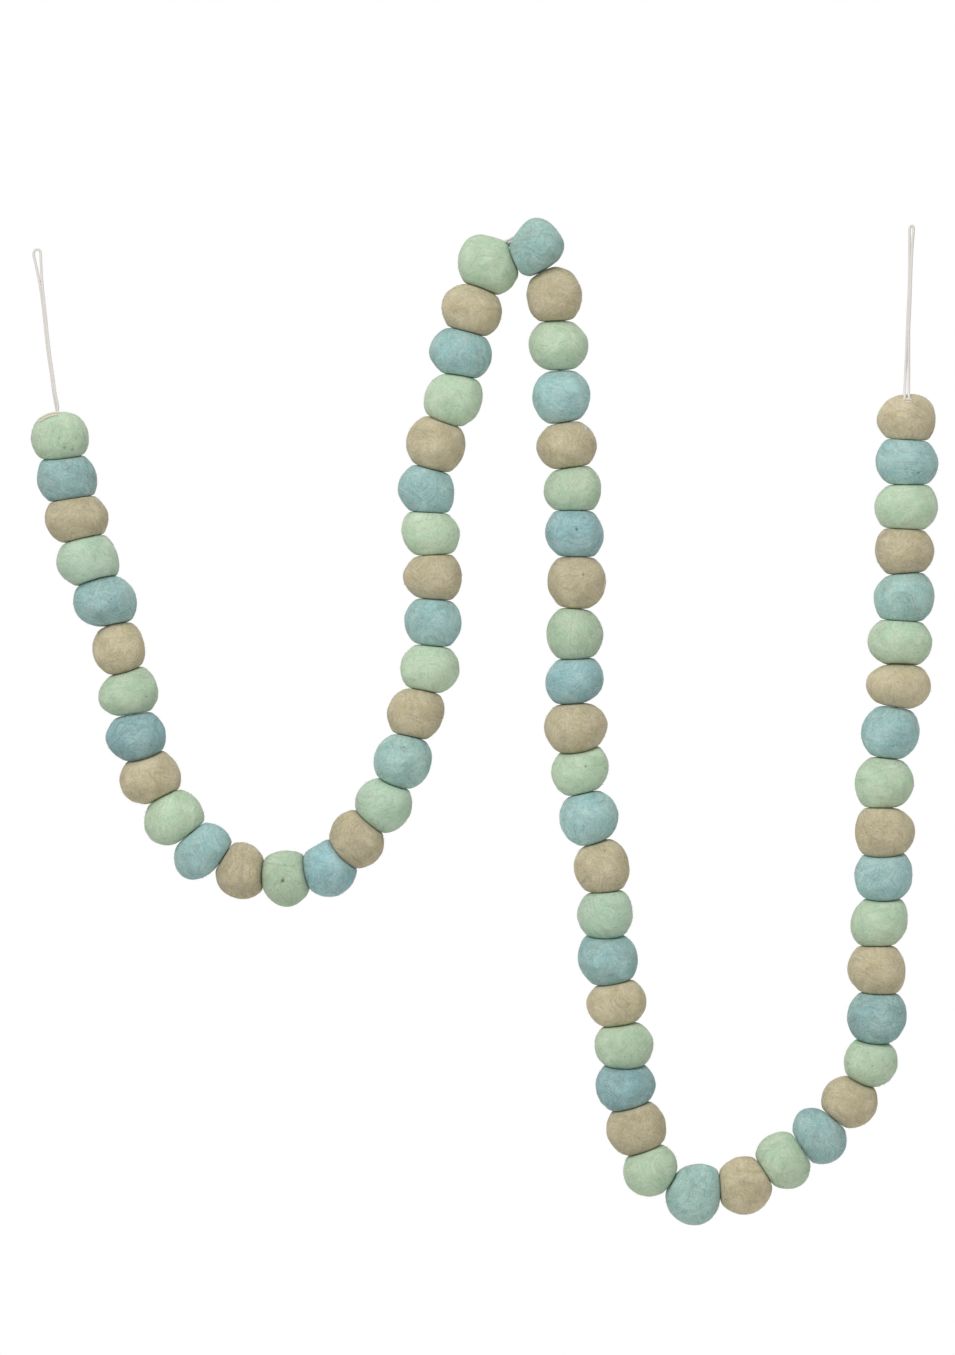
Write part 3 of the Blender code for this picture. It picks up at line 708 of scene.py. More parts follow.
@dataclass(frozen=True)
class PressedFace:
    """The flat face along which two balls press: its middle, half its width, its line and its normal.

    A direction that runs at the face less steeply than the least slope misses it.
    """

    middle: np.ndarray
    half_width: float
    across: np.ndarray
    normal: np.ndarray
    least_slope: float = 0.02

    @classmethod
    def at_joint(cls, joint: Joint, ahead: np.ndarray, forward: float) -> PressedFace:
        """The face through a joint's line.

        Args:
            joint: the joint's ends and dip.
            ahead: the direction along the string.
            forward: how far the joint stands forward.

        Returns:
            The face, with its normal pointing on along the string.
        """
        outer, inner = in_plane(joint.outer), in_plane(joint.inner)
        across = unit(outer - inner)
        half_width = float(np.linalg.norm(outer - inner)) / 2
        flat_normal = unit(np.cross(across, (0.0, 1.0, 0.0)))
        flat_normal = -flat_normal if flat_normal @ ahead < 0 else flat_normal
        front = unit(joint.dip * flat_normal + half_width * FRONT)
        normal = unit(np.cross(across, front))
        normal = -normal if normal @ ahead < 0 else normal
        return cls((outer + inner) / 2 + forward * FRONT, half_width, across, normal)

    def reach(self, centre: np.ndarray, directions: np.ndarray, side: int, gap: float) -> np.ndarray:
        """How far the face is from a ball's centre.

        Args:
            centre: the ball's centre.
            directions: one unit direction a row.
            side: 1 if the face is ahead of the ball, -1 if behind.
            gap: how far the ball keeps back from the face.

        Returns:
            The distance along each direction, and a large one where the face is missed.
        """
        toward = side * directions @ self.normal
        away = side * self.normal @ (self.middle - centre) - gap
        return np.where(toward > self.least_slope, away / np.maximum(toward, self.least_slope), FAR)


@dataclass
class BallForm:
    """A ball's form: its outline in the garland's plane, its depth, and its pressed faces.

    Its sizes are in millimetres, and its shares are of half its width. The search finds a front point.
    """

    number: int
    row: GarlandRow
    depth_share: float = 0.98
    face_gap: float = 0.03
    rim_round: float = 1.5
    widest_face_share: float = 0.75
    free_room: float = 2.0
    least_freedom: float = 0.1
    search_from: float = 0.5
    search_share: float = 1.1
    search_steps: int = 20
    centre: np.ndarray = field(init=False)
    outward: np.ndarray = field(init=False)
    along: np.ndarray = field(init=False)
    half_width: float = field(init=False)
    faces: list[tuple[PressedFace, int]] = field(init=False)
    angles: np.ndarray = field(init=False)
    radii: np.ndarray = field(init=False)

    def __post_init__(self) -> None:
        """Reads the ball's row of the table and its neighbours' faces."""
        number, row = self.number, self.row
        ball = row.widest[number]
        outer, inner = in_plane(ball.outer), in_plane(ball.inner)
        self.centre = (outer + inner) / 2 + FORWARD.get(number, 0.0) * FRONT
        self.outward = unit(outer - inner)
        self.along = unit(np.cross(self.outward, FRONT))
        self.half_width = float(np.linalg.norm(outer - inner)) / 2
        self.faces = [(row.faces[n], side) for n, side in ((number - 1, -1), (number, 1)) if n in row.faces]
        before = FREE_ENDS[number] if number in FREE_STARTS else row.faces[number - 1]
        after = FREE_ENDS[number] if number in FREE_STOPS else row.faces[number]
        spokes = [point - self.centre for point in (outer, inner)]
        for end in (before, after):
            spokes += [point - self.centre for point in self.end_points(end)]
        polar = sorted((math.atan2(spoke[2], spoke[0]), math.hypot(spoke[0], spoke[2])) for spoke in spokes)
        self.angles, self.radii = np.array(polar).T

    def end_points(self, end: FreeEnd | PressedFace) -> list[np.ndarray]:
        """An end's points on the outline; past a pressed face it goes on as if round.

        Args:
            end: the free end or the pressed face.

        Returns:
            The three points.
        """
        if isinstance(end, FreeEnd):
            return [in_plane(point) for point in (end.outer, end.tip, end.inner)]
        width_share = min(end.half_width / self.half_width, self.widest_face_share)
        pole = self.centre + (end.middle - self.centre) / math.sqrt(1 - width_share**2)
        return [end.middle + end.across * end.half_width, pole, end.middle - end.across * end.half_width]

    def outline(self, angle: np.ndarray) -> np.ndarray:
        """The outline's radius, by a smooth curve through the points either side.

        Args:
            angle: the angles in the garland's plane, in radians.

        Returns:
            The radius at each angle.
        """
        count = len(self.angles)
        order = np.arange(-2, count + 3)
        angles = self.angles[order % count] + 2 * math.pi * (order // count)
        radii = self.radii[order % count]
        k = np.clip(np.searchsorted(angles, angle, side="right") - 1, 1, len(angles) - 3)
        steps = angles[1:] - angles[:-1]
        slopes = (radii[1:] - radii[:-1]) / steps
        start = (slopes[k - 1] * steps[k] + slopes[k] * steps[k - 1]) / (steps[k - 1] + steps[k])
        stop = (slopes[k] * steps[k + 1] + slopes[k + 1] * steps[k]) / (steps[k] + steps[k + 1])
        t = (angle - angles[k]) / steps[k]
        blend = radii[k] * (1 - t) ** 2 * (1 + 2 * t) + radii[k + 1] * t**2 * (3 - 2 * t)
        return blend + steps[k] * t * (1 - t) * (start * (1 - t) - stop * t)

    def free_radius(self, directions: np.ndarray) -> np.ndarray:
        """The radius before the neighbours press the ball.

        Args:
            directions: one unit direction a row.

        Returns:
            The radius along each direction.
        """
        flat = np.hypot(directions[:, 0], directions[:, 2])
        outline = self.outline(np.arctan2(directions[:, 2], directions[:, 0]))
        depth = self.half_width * self.depth_share
        return 1 / np.sqrt((flat / outline) ** 2 + (directions[:, 1] / depth) ** 2)

    def radius(self, directions: np.ndarray) -> np.ndarray:
        """The radius of the ball, pressed flat with a rounded rim.

        Args:
            directions: one unit direction a row.

        Returns:
            The radius along each direction.
        """
        radius = self.free_radius(directions)
        for face, side in self.faces:
            reach = face.reach(self.centre, directions, side, self.face_gap)
            share = np.clip(0.5 + (reach - radius) / (2 * self.rim_round), 0.0, 1.0)
            blended = reach + (radius - reach) * share - self.rim_round * share * (1 - share)
            radius = np.minimum(blended, np.minimum(reach, radius))
        return radius

    def freedom(self, directions: np.ndarray) -> np.ndarray:
        """How free the surface is of its neighbours, from 0, pressed, to 1.

        Args:
            directions: one unit direction a row.

        Returns:
            The freedom along each direction.
        """
        radius = self.free_radius(directions)
        room = np.full(len(directions), FAR)
        for face, side in self.faces:
            room = np.minimum(room, face.reach(self.centre, directions, side, self.face_gap) - radius)
        return np.clip(room / self.free_room + self.least_freedom, 0.0, 1.0)

    def surface_point(self, near: Triple | np.ndarray) -> np.ndarray:
        """The point of the surface in the direction of a given point."""
        direction = unit(np.array(near) - self.centre)
        return self.centre + direction * self.radius(direction[None, :])[0]

    def front_point(self, x: float, z: float, lift: float = 0.0) -> np.ndarray:
        """The point of the ball's front that shows at a place of the garland's plane.

        Args:
            x: where it is across.
            z: how high it is.
            lift: how far off the surface it is to be.

        Returns:
            The point, in millimetres.
        """
        inside, outside = self.search_from, self.half_width * self.search_share
        for _ in range(self.search_steps):
            forward = (inside + outside) / 2
            spot = np.array((x, self.centre[1] - forward, z))
            reach = np.linalg.norm(self.surface_point(spot) - self.centre)
            is_out = np.linalg.norm(spot - self.centre) > reach
            inside, outside = (inside, forward) if is_out else (forward, outside)
        surface = self.surface_point((x, self.centre[1] - inside, z))
        return surface + lift * unit(surface - self.centre)


@dataclass
class GarlandRow:
    """All balls' widest points and pressed faces, keyed by the ball's number."""

    widest: dict[int, Ball] = field(default_factory=dict)
    faces: dict[int, PressedFace] = field(default_factory=dict)
    bow_share: float = 1 / 8

    def __post_init__(self) -> None:
        """Reads the table."""
        joints: dict[int, Joint] = {}
        for number, (ball, joint) in enumerate(STRUNG, start=1):
            self.widest[number] = Ball(ball[:2], ball[2:])
            if joint:
                joints[number] = Joint(joint[:2], joint[2:4], joint[4])
        for number, joint in joints.items():
            ahead = unit(self.middle(number + 1) - self.middle(number))
            forward = (FORWARD.get(number, 0.0) + FORWARD.get(number + 1, 0.0)) / 2
            self.faces[number] = PressedFace.at_joint(joint, ahead, forward)

    def middle(self, number: int) -> np.ndarray:
        """The middle of a ball in the garland's plane."""
        ball = self.widest[number]
        return (in_plane(ball.outer) + in_plane(ball.inner)) / 2

    def string_run(self, first: int, last: int) -> list[np.ndarray]:
        """The doubled string's centre from one ball's hole to another's.

        Args:
            first: the first ball's number.
            last: the last ball's number.

        Returns:
            The points, with one inside each ball.
        """
        knots = [np.array(FREE_ENDS[first].hole)]
        knots += [self.faces[number].middle for number in range(first, last)]
        knots.append(np.array(FREE_ENDS[last].hole))
        points = [knots[0]]
        for k in range(len(knots) - 1):
            ahead = knots[min(k + 2, len(knots) - 1)] - knots[k]
            behind = knots[k + 1] - knots[max(k - 1, 0)]
            bow = (unit(behind) - unit(ahead)) * np.linalg.norm(knots[k + 1] - knots[k]) * self.bow_share
            points += [(knots[k] + knots[k + 1]) / 2 + bow, knots[k + 1]]
        return points


def frame_node_of(number: int) -> str:
    """The frame's node that a ball stands for.

    Args:
        number: the ball's number.

    Returns:
        The node's name.
    """
    if number % PAIR_STEP == FIRST_PAIRED:
        return f"balls_{number:02d}_{number + 1:02d}"
    if (number - 1) % PAIR_STEP == FIRST_PAIRED:
        return f"balls_{number - 1:02d}_{number:02d}"
    return f"ball_{number:02d}"


class Pit(NamedTuple):
    """A pit in a ball's front in millimetres, or a crease, which has a length and a turn in degrees. Its
    depth also sets how much painted shade darkens it.
    """

    ball: int
    x: float
    z: float
    width: float
    depth: float
    length: float = 0.0
    turn: float = 0.0


# Pits, creases and smudges: each darkens the colour, partly as dark specks of the wool and partly as painted
# shade in the hollow.
PITS = (
    Pit(1, -239.3, -106.5, 1.6, 0.20),
    Pit(1, -236.6, -111.4, 3.0, 0.15, 3.6, 20.0),
    Pit(1, -232.6, -112.3, 2.6, 0.1, 3.2, 0.0),
    Pit(1, -230.4, -106.0, 1.8, 0.15),
    Pit(5, -211.8, -191.5, 1.5, 0.2),
    Pit(5, -208.0, -197.5, 1.6, 0.2),
    Pit(7, -193.5, -243.0, 1.8, 0.25),
    Pit(13, -121.4, -340.6, 2.5, 1.2, 3.5, 62.0),
    Pit(13, -122.7, -342.2, 1.3, 0.4),
    Pit(13, -115.1, -332.4, 1.5, 0.25),
    Pit(13, -124.2, -345.3, 1.8, 0.2),
    Pit(17, -57.2, -269.7, 2.0, 0.5),
    Pit(17, -58.6, -270.1, 1.6, 0.3),
    Pit(18, -44.2, -246.2, 0.8, 0.25, 4.6, 20.0),
    Pit(18, -51.0, -261.5, 0.7, 0.15, 3.2, 85.0),
    Pit(19, -46.4, -231.0, 1.3, 0.2),
    Pit(35, 34.2, -154.6, 2.1, 0.9),
    Pit(35, 38.4, -165.8, 1.5, 0.15),
    Pit(36, 37.8, -178.5, 2.0, 0.7),
    Pit(36, 29.8, -178.4, 1.0, 0.1),
    Pit(40, 39.1, -280.0, 2.0, 0.5),
    Pit(42, 49.1, -324.5, 2.0, 0.45),
    Pit(55, 190.7, -438.5, 0.8, 0.2, 2.4, 40.0),
    Pit(55, 198.2, -438.6, 0.8, 0.2, 2.4, 40.0),
    Pit(56, 188.0, -417.9, 0.7, 0.15, 5.0, 3.0),
    Pit(56, 188.4, -420.1, 0.7, 0.15, 4.4, -4.0),
    Pit(57, 187.5, -387.0, 1.6, 0.25),
    Pit(60, 187.5, -315.0, 1.5, 0.2),
    Pit(61, 202.9, -278.6, 1.3, 0.3, 4.2, 85.0),
    Pit(62, 201.6, -269.2, 0.9, 0.35, 5.0, 33.0),
    Pit(63, 203.8, -235.3, 1.0, 0.15),
    Pit(68, 215.0, -124.8, 2.0, 0.4),
    Pit(68, 208.1, -122.9, 0.9, 0.25, 4.5, 20.0),
    # Painted shade: two dark spots where the string goes into the ball beside the knot.
    Pit(69, 208.95, -85.0, 1.0, 0.35),
    Pit(69, 211.4, -84.8, 1.1, 0.35),
)
# The dimple where the string comes out, darkened with painted shade.
SHADED_HOLE_DIMPLE = Pit(0, 0.0, 0.0, 3.6, 0.8)


class Fleck(NamedTuple):
    """A fleck of pale lint on a ball's front, in millimetres, turned by degrees."""

    ball: int
    x: float
    z: float
    length: float
    width: float
    turn: float
    fibres: int


FLECKS = (
    Fleck(33, 38.7, -101.1, 2.8, 1.2, 65.0, 160),
    Fleck(27, -30.8, -43.3, 2.6, 1.2, 55.0, 45),
)


class Shade(Enum):
    """How light a ball's wool came out of the dye, against the rest of its colour."""

    PALE = 0.07
    PLAIN = 0.0
    DIM = -0.06
    DARK = -0.13

    @staticmethod
    def of_ball(number: int) -> Shade:
        """The shade of a ball; most are plain.

        Args:
            number: the ball's number.

        Returns:
            The shade.
        """
        listed = {
            Shade.PALE: (17, 19, 20, 22, 25, 27, 32, 40, 41, 45, 51, 57, 59, 61, 62, 63, 64, 65, 67, 68, 69),
            Shade.DIM: (5, 7, 12, 15, 29, 44, 48, 53),
            Shade.DARK: (2, 8, 13, 47, 56),
        }
        return next((shade for shade, numbers in listed.items() if number in numbers), Shade.PLAIN)


class DyeCast(Enum):
    """Which way a ball's dye leans, as factors on red, green and blue."""

    BLUER = (0.965, 0.99, 1.045)
    EVEN = (1.0, 1.0, 1.0)
    GREENER = (1.03, 1.005, 0.95)

    @staticmethod
    def of_ball(number: int) -> DyeCast:
        """The cast of a ball; most are even."""
        listed = {DyeCast.BLUER: (4, 8, 14, 16, 35, 38, 43, 47), DyeCast.GREENER: (17, 29, 50, 65)}
        return next((cast for cast, numbers in listed.items() if number in numbers), DyeCast.EVEN)


# What share of the balls is wound each way, in the order in which Wind names them
WIND_SHARES = (0.5, 0.14, 0.18, 0.18)


class Wind(Enum):
    """How the fibres lie on a ball's front, as degrees from round the string."""

    AROUND = 0.0
    ALONG = 90.0
    RISING = 40.0
    FALLING = -40.0

    @staticmethod
    def of_ball(number: int, rng: np.random.Generator) -> Wind:
        """The way a ball is wound, which is given for the balls where it shows most.

        Args:
            number: the ball's number.
            rng: the random numbers that pick the way of the others.

        Returns:
            The way.
        """
        listed = {
            Wind.AROUND: (7, 19, 22, 25, 56, 59),
            Wind.ALONG: (33, 63),
            Wind.RISING: (4, 18, 60, 64),
            Wind.FALLING: (14, 27, 36),
        }
        pick = rng.choice(list(Wind), p=WIND_SHARES)
        return next((way for way, numbers in listed.items() if number in numbers), pick)


@dataclass
class FeltBall:
    """One felt ball: wound, matted and pressed between its neighbours."""

    number: int
    form: BallForm
    finish: bpy.types.Material
    lump_size: float = 0.009
    lump_height: float = 0.0009
    dent_size: float = 0.0035
    dent_height: float = 0.0003
    tone_spread: float = 0.02
    roll_spread: float = 0.15
    lean_spread: float = 0.3
    pit_cuts: int = 3
    pit_steepness: float = 6.4
    pit_margin: float = 0.7
    pit_speck_and_shade_mark: float = 0.95
    pit_shade_for_depth: float = 0.5
    piece: bpy.types.Object = field(init=False)

    @property
    def wool(self) -> Wool:
        """The ball's wool."""
        return Wool.of_ball(self.number)

    def press(self, blank: bpy.types.Object) -> None:
        """Copies the blank and presses it into the ball's form.

        Args:
            blank: a round ball, one metre in radius, at the origin.
        """
        self.piece = blank.copy()
        self.piece.data = blank.data.copy()
        self.piece.name = f"felt_ball_{self.number:02d}"
        self.piece.data.name = self.piece.name
        bpy.context.scene.collection.objects.link(self.piece)
        directions = places_of(self.piece.data)
        directions /= np.linalg.norm(directions, axis=1)[:, None]
        radius = self.form.radius(directions)
        set_places(self.piece.data, (self.form.centre + directions * radius[:, None]) * MM)
        free = self.piece.vertex_groups.new(name="free")
        for index, weight in enumerate(self.form.freedom(directions)):
            free.add([index], float(weight), "REPLACE")

    def lump(self, lumps: bpy.types.Texture, dents: bpy.types.Texture) -> None:
        """Makes the free surface uneven.

        Args:
            lumps: the texture of the large soft lumps.
            dents: the texture of the small dents.
        """
        for texture, height in ((lumps, self.lump_height), (dents, self.dent_height)):
            modifier = self.piece.modifiers.new(texture.name, "DISPLACE")
            modifier.texture = texture
            modifier.texture_coords = "GLOBAL"
            modifier.strength = height
            modifier.mid_level = 0.5
            modifier.vertex_group = "free"
        activate(self.piece)
        for texture in (lumps, dents):
            bpy.ops.object.modifier_apply(modifier=texture.name)

    def pit(self) -> None:
        """Pushes in the ball's pits and creases and the dimple of the string's hole, on a finer mesh, and
        marks them for dark specks and painted shade in the colour.
        """
        hollows = [(front_of(self.piece, pit.x, pit.z), pit) for pit in PITS if pit.ball == self.number]
        if self.number in FREE_ENDS:
            hollows.append((self.form.surface_point(FREE_ENDS[self.number].hole), SHADED_HOLE_DIMPLE))
        for spot, pit in hollows:
            self.refine(spot * MM, (max(pit.width, pit.length) / 2 + pit.width * self.pit_margin) * MM)
        places = places_of(self.piece.data) / MM
        pit_speck_and_shade_marks = np.zeros(len(places))
        for spot, pit in hollows:
            turn = math.radians(pit.turn)
            along = np.array((math.cos(turn), 0.0, math.sin(turn)))
            off = places - spot
            run = off @ along
            aside = np.linalg.norm(off - run[:, None] * along, axis=1)
            off_share = (aside / pit.width) ** 2 + (run / (pit.length or pit.width)) ** 2
            near = np.exp(-self.pit_steepness * off_share)
            places += near[:, None] * pit.depth * unit(self.form.centre - spot)
            # The mark grows with depth: the deeper the hollow, the more painted shade darkens it.
            pit_speck_and_shade_marks = np.maximum(pit_speck_and_shade_marks, near * (self.pit_speck_and_shade_mark + self.pit_shade_for_depth * pit.depth))
        set_places(self.piece.data, places * MM)
        put_attribute(self.piece.data, "pit", pit_speck_and_shade_marks)

    def refine(self, spot: np.ndarray, reach: float) -> None:
        """Subdivides the faces round a spot.

        Args:
            spot: the place, in metres.
            reach: how far out, in metres.
        """
        activate(self.piece)
        bpy.ops.object.mode_set(mode="EDIT")
        bpy.ops.mesh.select_all(action="DESELECT")
        bpy.ops.object.mode_set(mode="OBJECT")
        for polygon in self.piece.data.polygons:
            polygon.select = np.linalg.norm(np.array(polygon.center) - spot) < reach
        bpy.ops.object.mode_set(mode="EDIT")
        bpy.ops.mesh.select_mode(type="FACE")
        bpy.ops.mesh.subdivide(number_cuts=self.pit_cuts)
        bpy.ops.mesh.quads_convert_to_tris()
        bpy.ops.object.mode_set(mode="OBJECT")

    def dress(self) -> None:
        """Smooths the ball, stores how it was wound and dyed, and gives it its wool."""
        mesh = self.piece.data
        rng = np.random.default_rng(self.number)
        activate(self.piece)
        bpy.ops.object.shade_smooth()
        roll = math.radians(Wind.of_ball(self.number, rng).value) + rng.normal(0.0, self.roll_spread)
        lean = rng.normal(0.0, self.lean_spread)
        around = math.cos(roll) * self.form.outward + math.sin(roll) * self.form.along
        across = unit(np.cross(around, FRONT) + lean * FRONT)
        axes = np.array((around, np.cross(across, around), across))
        winding = (places_of(mesh) - self.form.centre * MM) @ axes.T + rng.uniform(-1.0, 1.0, 3)
        put_attribute(mesh, "winding", winding)
        count = len(mesh.vertices)
        tone = Shade.of_ball(self.number).value + rng.normal(0.0, self.tone_spread)
        put_attribute(mesh, "tone", np.full(count, tone))
        put_attribute(mesh, "cast", np.tile(DyeCast.of_ball(self.number).value, (count, 1)))
        mesh.materials.clear()
        mesh.materials.append(self.finish)

    def hang(self) -> None:
        """Rides on the frame in place of its solid."""
        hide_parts(frame_node_of(self.number))
        self.wool.value
        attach(self.piece, "root")


@dataclass
class StrungBalls:
    """All the balls on the string."""

    forms: dict[int, BallForm]
    finishes: dict[Wool, bpy.types.Material]
    fineness: int = 5
    balls: list[FeltBall] = field(default_factory=list)

    def blank(self) -> bpy.types.Object:
        """A round ball of even triangles, one metre in radius, that every ball starts from.

        Returns:
            The ball, at the origin.
        """
        deselect()
        bpy.ops.mesh.primitive_ico_sphere_add(
            subdivisions=self.fineness, radius=1.0, location=(0.0, 0.0, 0.0)
        )
        return bpy.context.active_object

    def cloud_texture(self, name: str, size: float, depth: int) -> bpy.types.Texture:
        """A soft cloud texture for the surface's unevenness.

        Args:
            name: the texture's name.
            size: the size of its lumps, in metres.
            depth: how many finer layers it has.

        Returns:
            The texture.
        """
        texture = bpy.data.textures.new(name, "CLOUDS")
        texture.noise_scale = size
        texture.noise_depth = depth
        return texture

    def build(self) -> None:
        """Makes every ball from the blank."""
        blank = self.blank()
        lumps = self.cloud_texture("lumps", FeltBall.lump_size, depth=1)
        dents = self.cloud_texture("dents", FeltBall.dent_size, depth=2)
        for number, form in self.forms.items():
            ball = FeltBall(number, form, self.finishes[Wool.of_ball(number)])
            ball.press(blank)
            ball.lump(lumps, dents)
            ball.pit()
            ball.dress()
            ball.hang()
            self.balls.append(ball)
            log.info("%s: %d faces", ball.piece.name, len(ball.piece.data.polygons))
        bpy.data.objects.remove(blank, do_unlink=True)


@dataclass
class LooseFibre:
    """One pointed fibre, and how copies of it make up one piece."""

    thickness: float
    bend: float = 0.25
    ring_height: float = 0.45
    points: np.ndarray = field(init=False)
    faces: np.ndarray = field(init=False)

    def __post_init__(self) -> None:
        """Models the fibre, one long along Z and one thick, with a ring of points near half way."""
        deselect()
        bpy.ops.mesh.primitive_cone_add(
            vertices=3, radius1=0.5, radius2=0.0, depth=1.0, location=(0.0, 0.0, 0.5)
        )
        cone = bpy.context.active_object
        bpy.ops.object.transform_apply(location=True)
        bpy.ops.object.mode_set(mode="EDIT")
        bpy.ops.mesh.select_all(action="SELECT")
        bpy.ops.mesh.bisect(plane_co=(0.0, 0.0, self.ring_height), plane_no=(0.0, 0.0, 1.0))
        bpy.ops.mesh.select_all(action="SELECT")
        bpy.ops.mesh.quads_convert_to_tris()
        bpy.ops.object.mode_set(mode="OBJECT")
        self.points = places_of(cone.data)
        self.faces = np.array([tuple(polygon.vertices) for polygon in cone.data.polygons])
        bpy.data.objects.remove(cone, do_unlink=True)

    def copies(
        self, places: np.ndarray, grow: np.ndarray, length: np.ndarray, rng: np.random.Generator
    ) -> np.ndarray:
        """The points of copies of the fibre.

        Args:
            places: where each starts, in metres.
            grow: the way each grows, one row of any length each.
            length: how long each is, in metres.
            rng: the random numbers to use.

        Returns:
            An array of one block for each fibre, with one row for each point.
        """
        grow = grow / np.linalg.norm(grow, axis=1)[:, None]
        side = np.cross(grow, rng.normal(size=grow.shape))
        side /= np.linalg.norm(side, axis=1)[:, None]
        other = np.cross(grow, side)
        length = length[:, None, None]
        lean = np.sin(self.points[:, 2] * math.pi)[None, :, None] * length * self.bend
        x, y, z = (self.points[None, :, axis, None] for axis in range(3))
        thick = (x * side[:, None] + y * other[:, None]) * self.thickness
        return places[:, None] + thick + z * length * grow[:, None] + lean * side[:, None]

    def piece(self, name: str, copies: np.ndarray, finish: bpy.types.Material, slot: str) -> bpy.types.Object:
        """Joins copies into one piece that rides on the frame.

        Args:
            name: the piece's name.
            copies: the copies' points.
            finish: the piece's material.
            slot: not used.

        Returns:
            The piece.
        """
        starts = np.arange(len(copies))[:, None, None] * len(self.points)
        mesh = bpy.data.meshes.new(name)
        faces = (self.faces[None] + starts).reshape(-1, 3)
        mesh.from_pydata(copies.reshape(-1, 3).tolist(), [], faces.tolist())
        mesh.update()
        mesh.materials.append(finish)
        piece = bpy.data.objects.new(name, mesh)
        bpy.context.scene.collection.objects.link(piece)
        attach(piece, "root")
        log.info("%s: %d faces", name, len(mesh.polygons))
        return piece


@dataclass
class StrayFibres:
    """The short fibres that stand off all balls of one wool, as one piece."""

    wool: Wool
    finish: bpy.types.Material
    fibre: LooseFibre
    per_ball: int = 600
    shortest: float = 0.0005
    longest: float = 0.0017
    rim_freedom: float = 0.6
    root_depth: float = 0.15
    outward: Pair = (0.1, 0.8)
    tangle: float = 0.5

    def grown(self, ball: FeltBall, rng: np.random.Generator) -> np.ndarray:
        """The points of all fibres on one ball, away from its pressed faces.

        Args:
            ball: the ball.
            rng: the random numbers to use.

        Returns:
            An array of one block for each fibre, with one row for each point.
        """
        outwards = rng.normal(size=(self.per_ball * 2, 3))
        outwards /= np.linalg.norm(outwards, axis=1)[:, None]
        outwards = outwards[ball.form.freedom(outwards) > self.rim_freedom][: self.per_ball]
        count = len(outwards)
        places = ball.form.centre + outwards * (ball.form.radius(outwards)[:, None] - self.root_depth)
        grow = outwards * rng.uniform(*self.outward, (count, 1)) + rng.normal(0.0, self.tangle, (count, 3))
        length = rng.uniform(self.shortest, self.longest, count)
        return self.fibre.copies(places * MM, grow, length, rng)

    def build(self, balls: list[FeltBall]) -> None:
        """Scatters the fibres over the wool's balls.

        Args:
            balls: every ball of the garland.
        """
        rng = np.random.default_rng(list(Wool).index(self.wool))
        grown = np.concatenate([self.grown(ball, rng) for ball in balls if ball.wool is self.wool])
        name = f"stray_fibres_{self.wool.name.lower()}"
        self.fibre.piece(name, grown, self.finish, self.wool.value)


@dataclass
class LintFlecks:
    """The flecks of pale lint that are caught on the balls, each a wisp of short fibres."""

    forms: dict[int, BallForm]
    finish: bpy.types.Material
    fibre: LooseFibre
    matted: float = 0.1
    seed: int = 7
    tangle: float = 0.3
    lengths: Pair = (0.35, 0.65)
    starts: Pair = (-0.5, 0.1)
    spread: float = 0.2
    lifts: Pair = (-0.05, 0.3)

    def wisp(self, fleck: Fleck, rng: np.random.Generator) -> np.ndarray:
        """The points of one fleck's fibres, which lie along it.

        Args:
            fleck: the fleck.
            rng: the random numbers to use.

        Returns:
            An array of one block for each fibre, with one row for each point.
        """
        spot = front_of(bpy.data.objects[f"felt_ball_{fleck.ball:02d}"], fleck.x, fleck.z)
        outward = unit(spot - self.forms[fleck.ball].centre)
        turn = math.radians(fleck.turn)
        slant = np.array((math.cos(turn), 0.0, math.sin(turn)))
        along = unit(slant - (slant @ outward) * outward)
        across = np.cross(outward, along)
        count = fleck.fibres
        grow = along + rng.normal(0.0, self.tangle, (count, 3))
        length = fleck.length * rng.uniform(*self.lengths, count)
        run = rng.uniform(*self.starts, (count, 1)) * fleck.length
        aside = rng.normal(0.0, self.spread, (count, 1)) * fleck.width
        lift = rng.uniform(*self.lifts, (count, 1))
        places = spot + run * along + aside * across + lift * outward
        return self.fibre.copies(places * MM, grow, length * MM, rng)

    def build(self) -> None:
        """Lays every fleck, as one piece."""
        rng = np.random.default_rng(self.seed)
        wisps = np.concatenate([self.wisp(fleck, rng) for fleck in FLECKS])
        piece = self.fibre.piece("lint_flecks", wisps, self.finish, "cotton")
        put_attribute(piece.data, "matted", np.full(len(piece.data.vertices), self.matted))


